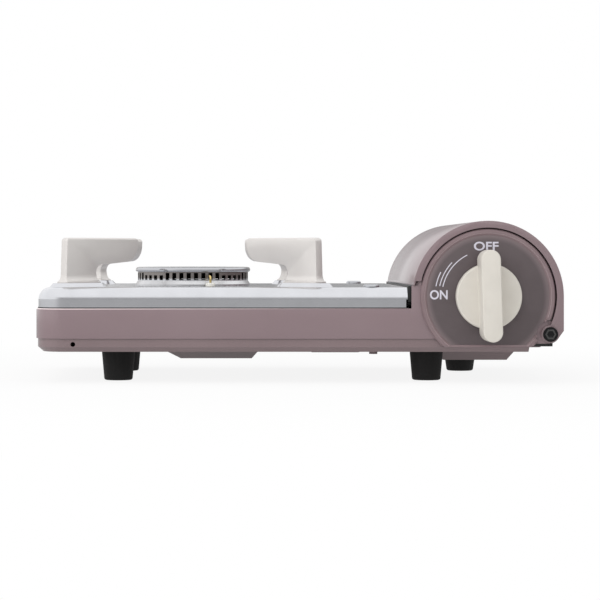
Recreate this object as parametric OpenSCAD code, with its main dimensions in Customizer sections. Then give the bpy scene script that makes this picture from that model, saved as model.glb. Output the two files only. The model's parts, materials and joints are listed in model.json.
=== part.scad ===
// Butane cassette stove: a tabletop burner with a canister bay under a hinged cover.
// X runs to the right seen from the front, Y to the rear, Z up from the table.
// X = 0 and Y = 0 are the middle of the overall width and depth, Z = 0 is the table.

/* [Overall] */
// Width over the body and the canister cover
stove_w = 286; // [276:1:320]
// Depth from the knob's face to the rear wall
stove_d = 193; // [190:1:230]
// Height to the top of the canister cover
stove_h = 88; // [86:0.5:92]
// How far the knob stands in front of the cover
knob_reach = 20; // [16:0.5:24]

/* [Body shell] */
// Thickness of the body's steel sheet
sheet = 0.8; // [0.6:0.1:1.2]
// Radius of the left corners seen from above
body_corner_r = 16; // [10:1:22]
// Height of the rim round the top plate, above the pan's floor
rim_h = 23.6; // [22.5:0.1:25]
// Height of the shell's lower edge above the pan's floor
skirt_h = 7.2; // [5:0.1:9]
// Height of the ledge that carries the top plate, above the pan's floor
ledge_h = 20.2; // [19:0.1:21]
// Width of the ledge
ledge_w = 6; // [4:0.5:8]
// Height of the shoulder beside the top plate, above the pan's floor
shoulder_h = 36; // [35:0.1:37]
// Height of the step where the cover's rim lands, above the pan's floor
step_h = 38.2; // [37.5:0.1:38.6]
// Width of the shoulder's lower part
shoulder_w = 3.6; // [2:0.1:5]
// Radius of the round end walls behind the panel
end_wall_r = 35.2; // [33:0.1:35.6]

/* [Bottom pan] */
// Distance from the cover's centre down to the underside of the pan's floor
pan_drop = 30.2; // [29.2:0.1:30.4]
// Height of the pan's lower edge above its floor
pan_edge_h = 2.6; // [2:0.1:4]
// Height that the pan's wall reaches inside the shell, above its floor
pan_wall_h = 14; // [12:0.5:16]
// Width of the slope from the wall to the floor
pan_slope_w = 3; // [2:0.5:5]
// Depth of the canister trough below the pan's floor
trough_depth = 7; // [6:0.1:7.5]
// Width of the trough's flat bottom
trough_w = 36; // [30:1:40]
// Width of each sloping side of the trough
trough_slope_w = 4.6; // [3:0.1:6]
// Depth of the recess below the burner
burner_recess_depth = 6.4; // [4:0.1:7]
// Depth of the recess below the nozzle
nozzle_recess_depth = 2.7; // [2:0.1:4]

/* [Top plate] */
// Thickness of the top plate's sheet
plate_sheet = 0.8; // [0.6:0.1:1]
// Height of the top plate's upper face above the pan's floor
plate_h = 35; // [34:0.1:36]
// Radius of the rounded shoulder
shoulder_r = 6.5; // [4:0.5:8]
// Gap between the top plate's skirt and the shell
plate_gap = 0.35; // [0.2:0.05:0.6]
// Gap between the top plate's right end and the canister cover
plate_end_gap = 2.4; // [2:0.1:4]
// Height of the raised pads under the supports
pad_rise = 2.1; // [1.5:0.1:3]
// Radius of the hole for the burner
burner_hole_r = 29.5; // [28:0.5:30.5]

/* [Pan supports] */
// Height of the supports' upper edge above the top plate
support_h = 27; // [24:0.5:30]
// Thickness of a support
support_t = 5; // [4:0.25:6]
// Distance from the burner's centre to the outer end
support_out_r = 99; // [94:1:101]
// Distance from the burner's centre to the inner tip
support_in_r = 45.5; // [44:0.5:52]
// Distance from the burner's centre to the neck
support_neck_r = 77.5; // [72:0.5:80]
// Height of the arm's underside at the neck, above the top plate
support_arm_h = 12.2; // [10:0.1:14]
// Angle of the supports from the X axis
support_turn = 45; // [40:1:50]

/* [Burner] */
// Distance from the left edge of the body to the burner's centre
burner_reach = 85; // [84:1:88]
// Radius of the burner cap
cap_r = 33.2; // [32:0.1:34]
// Radius of the port ring
port_r = 31.9; // [31:0.1:32.4]
// Height of the port ring's lower edge above the top plate
port_h = 2.8; // [2:0.1:4]
// Height of the cap's rim above the top plate
cap_h = 7.8; // [7:0.1:9]
// Number of flame ports round the ring
port_count = 48; // [32:8:60]
// Width of a flame port
port_w = 2.4; // [1:0.1:2.8]
// Height of the mixing tube's centre line above the pan's floor
tube_h = 13; // [12.5:0.5:14]
// Outer radius of the mixing tube
tube_r = 8; // [7:0.5:8.5]
// Length of pipe between the nozzle and the pipe's first bend
pipe_run = 13.3; // [8:0.1:20]

/* [Canister bay] */
// Outer radius of the canister cover
cover_r = 40.8; // [40.2:0.1:41.5]
// Thickness of the cover's sheet
cover_sheet = 0.8; // [0.6:0.1:1]
// Inner radius of the cover's front rim
cover_rim_r = 37.1; // [37:0.1:37.6]
// Sideways distance from the cover's centre to the hinge
hinge_dx = 33.5; // [33.2:0.1:33.8]
// Distance of the hinge below the cover's centre
hinge_dz = 20.5; // [20.2:0.1:20.8]
// Radius of the canister that fits the bay
canister_r = 33.5; // [33:0.1:34]
// Length of the canister that fits the bay
canister_len = 110; // [100:1:112]

/* [Control panel] */
// Outer radius of the panel's ring
panel_r = 35.9; // [35.5:0.1:36]
// Thickness of the panel
panel_t = 2; // [1.6:0.1:2.4]
// Radius of the dark dial face
dial_r = 32.4; // [31:0.1:33]
// Distance from the dial's centre down to the panel's flat edge
panel_drop = 27.4; // [27:0.1:27.6]
// Radius of the knob's disc
knob_r = 18.1; // [17:0.1:20]
// Length of the knob's grip bar
grip_len = 49.5; // [44:0.5:51]
// Width of the grip bar at its foot
grip_w = 12.6; // [11:0.1:14]
// Width of the grip bar at its face
grip_face_w = 10.6; // [9:0.1:11]

/* [Gas control] */
// Width of the regulator block
block_w = 26; // [24:0.5:28]
// Radius of the valve spindle
spindle_r = 3; // [2.5:0.1:3.5]
// Radius of the canister socket's bore
socket_r = 5.3; // [5:0.1:5.8]
// Travel of the igniter's plunger
plunger_travel = 5; // [4:0.1:5]

/* [Feet] */
// Thickness of the pad that the pan has over each tall foot
foot_pad_t = 0.5; // [0.3:0.1:1.5]
// Radius of a foot at the table
foot_r = 7.9; // [7.5:0.1:8.5]
// Radius of a foot at its top
foot_top_r = 9.3; // [8.5:0.1:9.6]

/* [Hidden] */
$fn = 64;

// Cuts reach this far past the faces that they open
overrun = 1;
// Clearances: of a turning fit, of a fixed fit, and of a part that rests on another
running_gap = 0.05;
fit_gap = 0.1;
seat_gap = 0.3;

// Main places
left_x = -stove_w / 2;
front_y = -stove_d / 2 + knob_reach;
back_y = stove_d / 2;
cover_x = stove_w / 2 - cover_r;
cover_z = stove_h - cover_r;
hinge_x = cover_x + hinge_dx;
hinge_z = cover_z - hinge_dz;
pan_floor_z = cover_z - pan_drop;
rim_z = pan_floor_z + rim_h;
skirt_z = pan_floor_z + skirt_h;
ledge_z = pan_floor_z + ledge_h;
shoulder_z = pan_floor_z + shoulder_h;
step_z = pan_floor_z + step_h;
plate_z = pan_floor_z + plate_h;
shell_front_y = front_y + panel_t;
shell_back_y = back_y - cover_sheet - seat_gap;
shell_right_x = hinge_x - 4.2 * sheet;
plate_right_x = cover_x - cover_r - plate_end_gap;
plate_left_x = left_x + sheet + plate_gap;
plate_front_y = shell_front_y + sheet + plate_gap;
plate_back_y = shell_back_y - sheet - plate_gap;
plate_corner_r = body_corner_r - sheet - plate_gap;
shoulder_x = plate_right_x + 2.5 * plate_sheet;
shield_x = shoulder_x + sheet;
burner_x = left_x + burner_reach;
burner_y = (shell_front_y + shell_back_y) / 2;

// Bottom pan
pan_x0 = left_x + sheet + fit_gap;
pan_x1 = shell_right_x - sheet - fit_gap;
pan_y0 = shell_front_y + sheet + fit_gap;
pan_y1 = shell_back_y - sheet - fit_gap;
pan_corner_r = body_corner_r - sheet - fit_gap;
pan_right_corner_r = pan_slope_w + sheet;
pan_top_z = pan_floor_z + sheet;
pan_edge_z = pan_floor_z + pan_edge_h;
pan_shelf_x = cover_x + trough_w / 2 + trough_slope_w;
pan_wall_z = pan_floor_z + pan_wall_h;
trough_z = pan_floor_z - trough_depth;
burner_recess_z = pan_floor_z - burner_recess_depth;
nozzle_recess_z = pan_floor_z - nozzle_recess_depth;
foot_row_gap = 0.555 * (back_y - front_y);
foot_front_y = (front_y + back_y) / 2 - foot_row_gap / 2;
foot_rear_y = foot_front_y + foot_row_gap;
foot_left_x = left_x + 2.75 * body_corner_r;
foot_right_x = cover_x - trough_w / 2 - trough_slope_w - 0.76 * foot_top_r;
trough_y0 = foot_front_y + 1.3 * foot_top_r;
// Each foot: X, Y, height of its top, height of the pan's sheet over it
feet = [[foot_left_x, foot_front_y, pan_floor_z - foot_pad_t, pan_floor_z],
    [foot_right_x, foot_front_y, pan_floor_z - foot_pad_t, pan_floor_z],
    [foot_left_x, foot_rear_y, pan_floor_z - foot_pad_t, pan_floor_z],
    [cover_x, foot_rear_y, trough_z, trough_z]];
foot_screw_r = 2;
foot_head_r = 4;
foot_head_t = 2.2;
foot_nut_r = 3.6;
foot_nut_t = 1.8;
pan_hole_r = 1.3;
dimple_r = 2.3;
dimple_drop = 2.6;

// Pan supports and their pads on the top plate
support_mid_r = (support_out_r + support_neck_r) / 2;
support_foot_z = plate_z + pad_rise;
support_z = plate_z + support_h;
support_arm_z = plate_z + support_arm_h;
// Where the rounding of a support's inner tip starts and ends, and that of its neck
support_top_turn = 170;
support_tip_turns = [180, 267];
support_neck_turn = 88;
support_flare = 1.1;
support_flare_w = 1.6;
support_flare_h = 4;
support_draft = 0.7;
support_round_r = 2.2;
support_tip_r = 9;
support_edge = 0.8;
support_arm_rise = 1.5;
pad_top_r = support_t / 2 + support_flare_w + fit_gap;
pad_base_r = pad_top_r + 1.1 * pad_rise;
pad_half_len = (support_out_r - support_neck_r) / 2 + 2 * support_flare;
support_screw_r = 1.5;
support_screw_head_r = 3;
support_screw_head_t = 1.6;
support_screw_len = 6;
// Turn of each support round the burner
support_turns = [180 + support_turn, -support_turn, 180 - support_turn, support_turn];

// Screws of the top plate, and the shell's tabs below them
plate_screw_reach = 19;
plate_screw_x = plate_right_x - plate_screw_reach;
plate_screw_inset = 10;
plate_screw_r = 1.9;
plate_screw_head_r = 4.5;
plate_screw_head_t = 1.5;
plate_screw_len = 6;
tab_w = 9;

// Burner
port_z = plate_z + port_h;
cap_z = plate_z + cap_h;
tube_z = pan_floor_z + tube_h;
burner_wall = 2.4;
port_wall = 1.2;
port_short_share = 0.34;
port_bar_share = 0.18;
throat_r = 13;
throat_bottom_z = tube_z - throat_r;
cup_depth = 6;
cup_slope_h = 7;
cup_floor_z = plate_z - cup_depth;
cup_low_z = cup_floor_z - cup_slope_h;
tube_wall = 0.8;
tube_socket_len = 26;
tube_inset = 14;
bell_r = 11.5;
bell_len = 10;
nozzle_tip_r = 2.5;
nozzle_hex_r = 5.5;
nozzle_tip_len = 9;
nozzle_hex_len = 5;
nozzle_stub_r = 3.4;
nozzle_overlap = 2;
nozzle_plate_t = 1.5;
nozzle_bracket_w = 22;
pipe_r = 2.2;
pipe_bend_r = 7;
nozzle_end_x = shield_x - 2 * pipe_bend_r - pipe_run;
nozzle_plate_x = nozzle_end_x - 3 * nozzle_plate_t;
nozzle_x = nozzle_plate_x - nozzle_hex_len - nozzle_tip_len;
tube_x = burner_x + tube_inset;
tube_end_x = nozzle_x + nozzle_overlap;
tube_len = tube_end_x - tube_x;

// Electrode
electrode_turn = -74;
electrode_gap = 3.9;
electrode_x = burner_x + (cap_r + electrode_gap) * cos(electrode_turn);
electrode_y = burner_y + (cap_r + electrode_gap) * sin(electrode_turn);
insulator_r = 2.75;
insulator_collar_r = 4;
insulator_rise = 1.8;
insulator_drop = 10;
insulator_top_z = plate_z + insulator_rise;
insulator_low_z = plate_z - insulator_drop;
insulator_collar_z = plate_z - insulator_drop / 2;
pin_r = 0.65;
pin_rise = 3.4;
pin_top_z = port_z + pin_rise;
pin_hook = 2.6;
electrode_strap_t = 1.2;
electrode_strap_w = 12;

// Gas control, all on the axis of the cover
wall_in_y = shell_front_y + sheet;
bracket_t = 1.2;
cam_gap = 0.8;
cam_y = wall_in_y + bracket_t + cam_gap;
cam_w = 4.5;
cam_r = 6;
cam_dwell = 30;
cam_steps = 30;
block_gap = 2.2;
block_y = cam_y + cam_w + block_gap;
block_d = 20;
pipe_y = block_y + 0.525 * block_d;
block_up = 13;
block_down = 22.2;
socket_boss_r = 9.5;
socket_len = 6.5;
socket_depth = 9;
magnet_r = 19;
magnet_t = 5;
canister_neck_len = 9;
canister_y0 = block_y + block_d + magnet_t + canister_neck_len;
trough_end_gap = 7.1;
trough_y1 = canister_y0 + canister_len + trough_end_gap;
diaphragm_r = 12;
diaphragm_t = 7;
adjuster_r = 4;
adjuster_t = 3;
block_x0 = cover_x - block_w / 2;
block_x1 = cover_x + block_w / 2;
block_z0 = cover_z - block_down;
block_z1 = cover_z + block_up;
plunger_r = 2.2;
plunger_gap = 0.55;
plunger_tip_x = cover_x - cam_r - plunger_gap;
plunger_y = cam_y + cam_w / 2;
igniter_x1 = block_x0 - bracket_t;
igniter_gap = 3;
igniter_x0 = shield_x + sheet + igniter_gap;
igniter_h = 13;
igniter_rear_d = 5;
igniter_back_y = plunger_y + igniter_rear_d;
plunger_hole_r = 3.2;

// Control panel and knob
panel_bevel = 1.2;
dial_recess = 1.2;
dial_t = 0.6;
panel_lip = 1.8;
hinge_notch_r = 8.1;
knob_sink = 0.2;
knob_back_y = front_y + knob_sink;
knob_face_y = front_y - knob_reach;
knob_disc_t = 5.2;
knob_edge = 1.2;
knob_floor_t = 2.4;
grip_edge = 1;
spindle_clear = 1.5;
spindle_hole_r = spindle_r + spindle_clear;
knob_face_t = 6;
spindle_y0 = knob_face_y + knob_face_t;

// Canister cover and its hinge
cover_left_z = shoulder_z + seat_gap;
rim_end_z = step_z + 2 * seat_gap;
cover_side_rise = 3.4;
cover_side_z = hinge_z + cover_side_rise;
ear_r = 4.8;
ear_slope = 35.7;
ear_tip = [hinge_x + ear_r * cos(ear_slope), hinge_z - ear_r * sin(ear_slope)];
ear_top_z = ear_tip[1] + (cover_x + cover_r - ear_tip[0]) * cos(ear_slope) / sin(ear_slope);
hinge_pin_r = 2;
hinge_head_r = 4;
hinge_head_t = 1.5;
hinge_block_d = 9;
hinge_block_r = hinge_x - shell_right_x - fit_gap;
hinge_strip_t = 1.4;
hinge_strip_w = 10.2;
hinge_strip_drop = 6.6;
hinge_strip_z = hinge_z - hinge_strip_drop;

// Heat panel, from the top plate to the canister
heat_shift = 8;
heat_len = 38;
heat_drop = 8;
heat_cap_gap = 4;
heat_canister_gap = 3;
heat_y0 = burner_y + heat_shift;
heat_y1 = heat_y0 + heat_len;
heat_z = plate_z - heat_drop;
heat_x0 = burner_x + cap_r + heat_cap_gap;
heat_tab_w = 13;
heat_leg_x = cover_x - canister_r - heat_canister_gap;
heat_leg_h = 13;
heat_t = 0.8;

// Route of the ignition lead, from the igniter to the electrode
lead_r = 1.3;
lead_drop = 4.2;
lead_z = cover_z - lead_drop;
lead_sides = 8;
lead_exit = 1.8;
lead_from = [shield_x - lead_exit, plunger_y, lead_z];
lead_to = [electrode_x, electrode_y, insulator_low_z];
lead_low_z = pan_top_z + 0.444 * (plate_z - pan_top_z);
// Each row: how far along X and along Y, how much of its first height and of its last
lead_shares = [[0.056, 0.055, 0.95, 0], [0.111, 0.146, 0.85, 0], [0.186, 0.227, 0.6, 0],
    [0.278, 0.284, 0.25, 0], [0.417, 0.307, 0.05, 0], [0.557, 0.33, 0, 0], [0.696, 0.375, 0, 0],
    [0.816, 0.49, 0, 0], [0.909, 0.65, 0, 0], [0.965, 0.81, 0, 0.06], [0.992, 0.93, 0, 0.28],
    [1, 1, 0, 0.6], [1, 1, 0, 1]];
lead_route = concat([[igniter_x0 - fit_gap, plunger_y, lead_z], lead_from],
    [for (s = lead_shares) [lead_from[0] + s[0] * (lead_to[0] - lead_from[0]),
        lead_from[1] + s[1] * (lead_to[1] - lead_from[1]),
        lead_low_z + s[2] * (lead_from[2] - lead_low_z) + s[3] * (lead_to[2] - lead_low_z)]]);

// A flat outline drawn in X and Z, given a thickness along Y
module upright(y, depth) {
    translate([0, y + depth, 0]) rotate([90, 0, 0]) linear_extrude(height = depth) children();
}

// A flat outline drawn in Y and Z, given a thickness along X
module crosswise(x, width) {
    translate([x, 0, 0]) rotate([90, 0, 90]) linear_extrude(height = width) children();
}

// A round bar along Y from y, and one along X from x
module bar_y(x, y, z, len, r) {
    translate([x, y, z]) rotate([-90, 0, 0]) cylinder(h = len, r = r);
}

module bar_x(x, y, z, len, r) {
    translate([x, y, z]) rotate([0, 90, 0]) cylinder(h = len, r = r);
}

module bar_z(x, y, z, len, r) {
    translate([x, y, z]) cylinder(h = len, r = r);
}

module block(x0, x1, y0, y1, z0, z1) {
    translate([x0, y0, z0]) cube([x1 - x0, y1 - y0, z1 - z0]);
}

// Points of an arc about a centre
function arc(c, r, from, to, steps) =
    [for (i = [0:steps]) c + r * [cos(from + (to - from) * i / steps),
        sin(from + (to - from) * i / steps)]];

// A rectangle with rounded corners on the left and square ones on the right
module left_rounded(x0, x1, y0, y1, r) {
    for (y = [y0 + r, y1 - r])
        translate([x0 + r, y]) circle(r = r);
    translate([x0, y0 + r]) square([r, y1 - y0 - 2 * r]);
    translate([x0 + r, y0]) square([x1 - x0 - r, y1 - y0]);
}

// The shell's plan, drawn in from its outer face
module shell_area(inset) {
    left_rounded(left_x + inset, shell_right_x - inset, shell_front_y + inset,
        shell_back_y - inset, body_corner_r - inset);
}

// A wall's profile carried round a rectangle. It is drawn in distance out of the outer
// face and height. Sides: 0 right, 1 rear, 2 left, 3 front, each after its own corner
module carry_round(x0, x1, y0, y1, left_r, right_r, sides, corners) {
    starts = [[x1, y1 - right_r, y1 - y0 - 2 * right_r],
        [x0 + left_r, y1, x1 - x0 - left_r - right_r],
        [x0, y0 + left_r, y1 - y0 - 2 * left_r],
        [x1 - right_r, y0, x1 - x0 - left_r - right_r]];
    centres = [[x1 - right_r, y1 - right_r, right_r], [x0 + left_r, y1 - left_r, left_r],
        [x0 + left_r, y0 + left_r, left_r], [x1 - right_r, y0 + right_r, right_r]];
    for (i = sides)
        translate([starts[i][0], starts[i][1], 0]) rotate([90, 0, 90 * i])
            linear_extrude(height = starts[i][2]) children();
    for (i = corners)
        translate([centres[i][0], centres[i][1], 0]) rotate([0, 0, 90 * i])
            rotate_extrude(angle = 90) translate([centres[i][2], 0]) children();
}

// Round end wall of the canister bay, with the shoulder beside the top plate and the
// hinge's ear
module end_wall_outline() {
    difference() {
        union() {
            difference() {
                translate([cover_x, cover_z]) circle(r = end_wall_r);
                translate([cover_x - cover_r, cover_z - cover_r - overrun])
                    square([2 * cover_r, skirt_z + cover_r + overrun - cover_z]);
            }
            translate([shoulder_x, skirt_z])
                square([cover_x - shoulder_x, shoulder_z - skirt_z]);
            translate([shoulder_x + shoulder_w, skirt_z])
                square([cover_x - shoulder_x - shoulder_w, step_z - skirt_z]);
            translate([hinge_x, hinge_z]) circle(r = ear_r);
            translate([cover_x, skirt_z]) square([hinge_x - cover_x, hinge_z - skirt_z]);
            translate([hinge_x - 2.2 * ear_r, hinge_strip_z + hinge_strip_t + fit_gap])
                square([2.2 * ear_r, hinge_z - hinge_strip_z - hinge_strip_t - fit_gap]);
        }
        translate([hinge_x, hinge_z]) circle(r = hinge_pin_r + fit_gap);
    }
}

// A tab of the shell that holds the top plate's screw, with its leg on the ledge
module plate_tab(y, toward) {
    x0 = plate_screw_x - tab_w / 2;
    leg = y - toward * plate_screw_inset * 0.35;
    inner = y + toward * tab_w / 2;
    wall = y - toward * (plate_screw_inset + plate_gap + sheet / 2);
    block(x0, x0 + tab_w, min(leg, inner), max(leg, inner),
        plate_z - plate_sheet - sheet, plate_z - plate_sheet);
    block(x0, x0 + tab_w, min(leg, leg + toward * sheet), max(leg, leg + toward * sheet),
        ledge_z - sheet, plate_z - plate_sheet);
    block(x0, x0 + tab_w, min(leg, wall), max(leg, wall), ledge_z - sheet, ledge_z);
}

plate_screw_ys = [plate_front_y + plate_screw_inset, plate_back_y - plate_screw_inset];

// Shell of painted steel sheet: the skirt with its ledge, and the bay's end walls
module body_shell() {
    color([0.56, 0.48, 0.49]) difference() {
        union() {
            difference() {
                translate([0, 0, skirt_z]) linear_extrude(height = rim_z - skirt_z) difference() {
                    shell_area(0);
                    shell_area(sheet);
                }
                // The side below the hinge stays low, and leaves room for the canister
                block(shell_right_x - 3 * sheet, hinge_x,
                    shell_front_y - overrun, shell_back_y + overrun,
                    hinge_z, rim_z + overrun);
            }
            translate([0, 0, ledge_z - sheet]) linear_extrude(height = sheet) difference() {
                shell_area(sheet / 2);
                shell_area(sheet + ledge_w);
                translate([plate_right_x, shell_front_y])
                    square([stove_w, shell_back_y - shell_front_y]);
            }
            for (y = [shell_front_y, shell_back_y - sheet])
                upright(y, sheet) end_wall_outline();
            plate_tab(plate_screw_ys[0], 1);
            plate_tab(plate_screw_ys[1], -1);
        }
        bar_y(cover_x, shell_front_y - overrun, cover_z, sheet + 2 * overrun, spindle_hole_r);
        for (y = plate_screw_ys)
            bar_z(plate_screw_x, y, rim_z, plate_z - rim_z, plate_screw_r + fit_gap);
    }
}

// A recess pressed down into the pan: the outer form with wall 0, the inside with a wall
module recess(x0, x1, left_w, right_w, y0, y1, end_w, low_z, wall) {
    top_z = pan_top_z + (wall > 0 ? overrun : 0);
    intersection() {
        upright(y0 + wall, y1 - y0 - 2 * wall) polygon([[x0 + wall, top_z],
            [x0 + wall, pan_floor_z], [x0 + left_w + wall, low_z + wall],
            [x1 - right_w - wall, low_z + wall], [x1 - wall, pan_floor_z], [x1 - wall, top_z]]);
        crosswise(x0 + wall, x1 - x0 - 2 * wall) polygon([[y0 + wall, top_z],
            [y0 + wall, pan_floor_z], [y0 + end_w + wall, low_z + wall],
            [y1 - end_w - wall, low_z + wall], [y1 - wall, pan_floor_z], [y1 - wall, top_z]]);
    }
}

burner_recess_w = 57;
burner_recess_d = 66;
burner_recess_slope_w = 11.6;
burner_recess_steep_w = 5;
nozzle_recess_w = 40;
nozzle_recess_d = 70;
nozzle_recess_slope_w = 7;
nozzle_recess_x = tube_end_x - 1.5 * bell_len;

module pan_recesses(wall) {
    burner_recess_x = burner_x - 0.32 * burner_recess_w;
    recess(burner_recess_x, burner_recess_x + burner_recess_w, burner_recess_slope_w,
        burner_recess_steep_w, burner_y - burner_recess_d / 2, burner_y + burner_recess_d / 2,
        burner_recess_slope_w, burner_recess_z, wall);
    recess(nozzle_recess_x, nozzle_recess_x + nozzle_recess_w, nozzle_recess_slope_w,
        nozzle_recess_slope_w, burner_y - nozzle_recess_d / 2, burner_y + nozzle_recess_d / 2,
        nozzle_recess_slope_w, nozzle_recess_z, wall);
    recess(cover_x - trough_w / 2 - trough_slope_w, cover_x + trough_w / 2 + trough_slope_w,
        trough_slope_w, trough_slope_w, trough_y0, trough_y1, 2 * trough_slope_w,
        trough_z, wall);
}

// The pan's walls with the slope at their foot, and its flat floor
module pan_dish() {
    slope = pan_slope_w;
    carry_round(pan_x0, pan_x1, pan_y0, pan_y1, pan_corner_r, pan_right_corner_r,
        [0, 1, 2, 3], [0, 1, 2, 3])
        polygon([[-sheet, pan_wall_z], [0, pan_wall_z], [0, pan_edge_z],
            [-slope, pan_floor_z], [-slope - 0.8 * sheet, pan_floor_z],
            [-slope - 0.8 * sheet, pan_top_z], [-slope - 0.4 * sheet, pan_top_z],
            [-sheet, pan_edge_z + 0.6 * sheet]]);
    translate([0, 0, pan_floor_z]) linear_extrude(height = sheet)
        left_rounded(pan_x0 + slope, pan_x1 - slope, pan_y0 + slope, pan_y1 - slope,
            pan_corner_r - slope);
}

// Raised floor at the pan's right end, below the hinge, and the riser up to it
module pan_shelf() {
    r = pan_right_corner_r;
    y0 = pan_y0 + sheet / 2;
    y1 = pan_y1 - sheet / 2;
    translate([0, 0, pan_edge_z]) linear_extrude(height = sheet) polygon(concat(
        [[pan_shelf_x - sheet, y0]], arc([pan_x1 - r, pan_y0 + r], r - sheet / 2, 270, 360, 4),
        arc([pan_x1 - r, pan_y1 - r], r - sheet / 2, 0, 90, 4), [[pan_shelf_x - sheet, y1]]));
    crosswise(pan_shelf_x - sheet, sheet) polygon([[y0, pan_edge_z + sheet], [y0, pan_edge_z],
        [pan_y0 + pan_slope_w, pan_floor_z], [pan_y1 - pan_slope_w, pan_floor_z],
        [y1, pan_edge_z], [y1, pan_edge_z + sheet]]);
}

// Bottom pan of painted sheet, pressed down below the burner, nozzle and canister
module bottom_pan() {
    color([0.5, 0.43, 0.44]) difference() {
        union() {
            difference() {
                pan_dish();
                block(pan_shelf_x, pan_x1 + overrun, pan_y0 - overrun, pan_y1 + overrun,
                    pan_floor_z - overrun, pan_edge_z);
            }
            pan_shelf();
            pan_recesses(0);
            for (f = feet)
                if (f[2] < f[3])
                    bar_z(f[0], f[1], f[2], f[3] - f[2] + sheet, foot_top_r + 2 * sheet);
            bar_z(nozzle_recess_x + nozzle_recess_w, foot_front_y,
                pan_floor_z - dimple_drop, dimple_drop + sheet, dimple_r);
        }
        pan_recesses(sheet);
        // The right wall stays low, clear of the canister
        block(pan_x1 - 2 * sheet, pan_x1 + overrun, pan_y0 + sheet, pan_y1 - sheet,
            hinge_z, pan_wall_z + overrun);
        for (f = feet)
            bar_z(f[0], f[1], f[2] - overrun, f[3] - f[2] + sheet + 2 * overrun,
                foot_screw_r + fit_gap);
        bar_y(pan_x0 + 1.25 * body_corner_r, pan_y0 - overrun, (2 * pan_edge_z + skirt_z) / 3,
            sheet + 2 * overrun, pan_hole_r);
    }
}

// Steel wall between the burner and the canister, with flanges at its top and foot
module heat_shield() {
    y0 = pan_y0 + sheet + fit_gap;
    y1 = pan_y1 - sheet - fit_gap;
    color([0.55, 0.55, 0.56]) difference() {
        union() {
            crosswise(shield_x, sheet) polygon([[y0, pan_edge_z + sheet],
                [y0 + pan_slope_w, pan_top_z], [y1 - pan_slope_w, pan_top_z],
                [y1, pan_edge_z + sheet], [y1, shoulder_z], [y0, shoulder_z]]);
            block(shield_x, shield_x + 3 * sheet, y0, y1, shoulder_z - sheet, shoulder_z);
            block(shield_x, shield_x + 5 * sheet, pan_y0 + body_corner_r, pan_y1 - body_corner_r,
                pan_top_z, pan_top_z + sheet);
        }
        bar_x(shield_x - overrun, pipe_y, tube_z, sheet + 2 * overrun, pipe_r + sheet);
        bar_x(shield_x - overrun, plunger_y, lead_z, sheet + 2 * overrun, lead_r + sheet);
        block(shield_x - overrun, shield_x + sheet + overrun, heat_y0 - seat_gap,
            heat_y1 + seat_gap, heat_z - seat_gap, heat_z + heat_t + seat_gap);
    }
}

// A long pad with sloping sides, along X about the origin
module pad(base_r, top_r, z, h) {
    for (u = [-pad_half_len, pad_half_len])
        translate([u, 0, z]) cylinder(h = h, r1 = base_r, r2 = top_r);
    translate([-pad_half_len, 0, z]) rotate([90, 0, 90]) linear_extrude(height = 2 * pad_half_len)
        polygon([[-base_r, 0], [base_r, 0], [top_r, h], [-top_r, h]]);
}

// Places children at a support's foot, turned along the support
module at_support(turn) {
    translate([burner_x, burner_y, 0]) rotate([0, 0, turn]) translate([support_mid_r, 0, 0])
        children();
}

// Profile of the top plate's edge: flat top, rounded shoulder and skirt
module plate_edge() {
    translate([-shoulder_r - 3 * plate_sheet, plate_z - plate_sheet])
        square([3 * plate_sheet, plate_sheet]);
    translate([-plate_sheet, ledge_z])
        square([plate_sheet, plate_z - shoulder_r - ledge_z]);
    translate([-shoulder_r, plate_z - shoulder_r]) intersection() {
        difference() {
            circle(r = shoulder_r);
            circle(r = shoulder_r - plate_sheet);
        }
        square([shoulder_r, shoulder_r]);
    }
}

// Short flange that closes the plate's end, seen from the right
module plate_end_area() {
    low_z = plate_z - shoulder_r;
    translate([plate_front_y + shoulder_r, low_z])
        square([plate_back_y - plate_front_y - 2 * shoulder_r, shoulder_r]);
    intersection() {
        for (y = [plate_front_y + shoulder_r, plate_back_y - shoulder_r])
            translate([y, low_z]) circle(r = shoulder_r);
        translate([plate_front_y, low_z])
            square([plate_back_y - plate_front_y, shoulder_r]);
    }
}

// Top plate: satin steel with a rounded shoulder and raised pads below the supports
module top_plate() {
    r = plate_corner_r;
    flat = shoulder_r + plate_sheet;
    color([0.8, 0.81, 0.83]) difference() {
        union() {
            carry_round(plate_left_x, plate_right_x - plate_sheet, plate_front_y,
                plate_back_y, r, 0, [1, 2, 3], [1, 2]) plate_edge();
            translate([0, 0, plate_z - plate_sheet]) linear_extrude(height = plate_sheet)
                left_rounded(plate_left_x + flat, plate_right_x - plate_sheet,
                    plate_front_y + flat, plate_back_y - flat, r - flat);
            crosswise(plate_right_x - plate_sheet, plate_sheet) plate_end_area();
            for (t = support_turns)
                at_support(t) pad(pad_base_r, pad_top_r, plate_z - plate_sheet / 2,
                    pad_rise + plate_sheet / 2);
        }
        for (t = support_turns)
            at_support(t) {
                pad(pad_base_r - plate_sheet, pad_top_r - plate_sheet,
                    plate_z - plate_sheet - overrun / 4, pad_rise + overrun / 4);
                bar_z(0, 0, plate_z, 2 * pad_rise, support_screw_r + fit_gap);
            }
        bar_z(burner_x, burner_y, plate_z - plate_sheet - overrun, plate_sheet + 2 * overrun,
            burner_hole_r);
        bar_z(electrode_x, electrode_y, plate_z - plate_sheet - overrun,
            plate_sheet + 2 * overrun, insulator_r + fit_gap);
        for (y = plate_screw_ys)
            bar_z(plate_screw_x, y, plate_z - plate_sheet - overrun,
                plate_sheet + 2 * overrun, plate_screw_r + fit_gap);
    }
}

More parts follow.
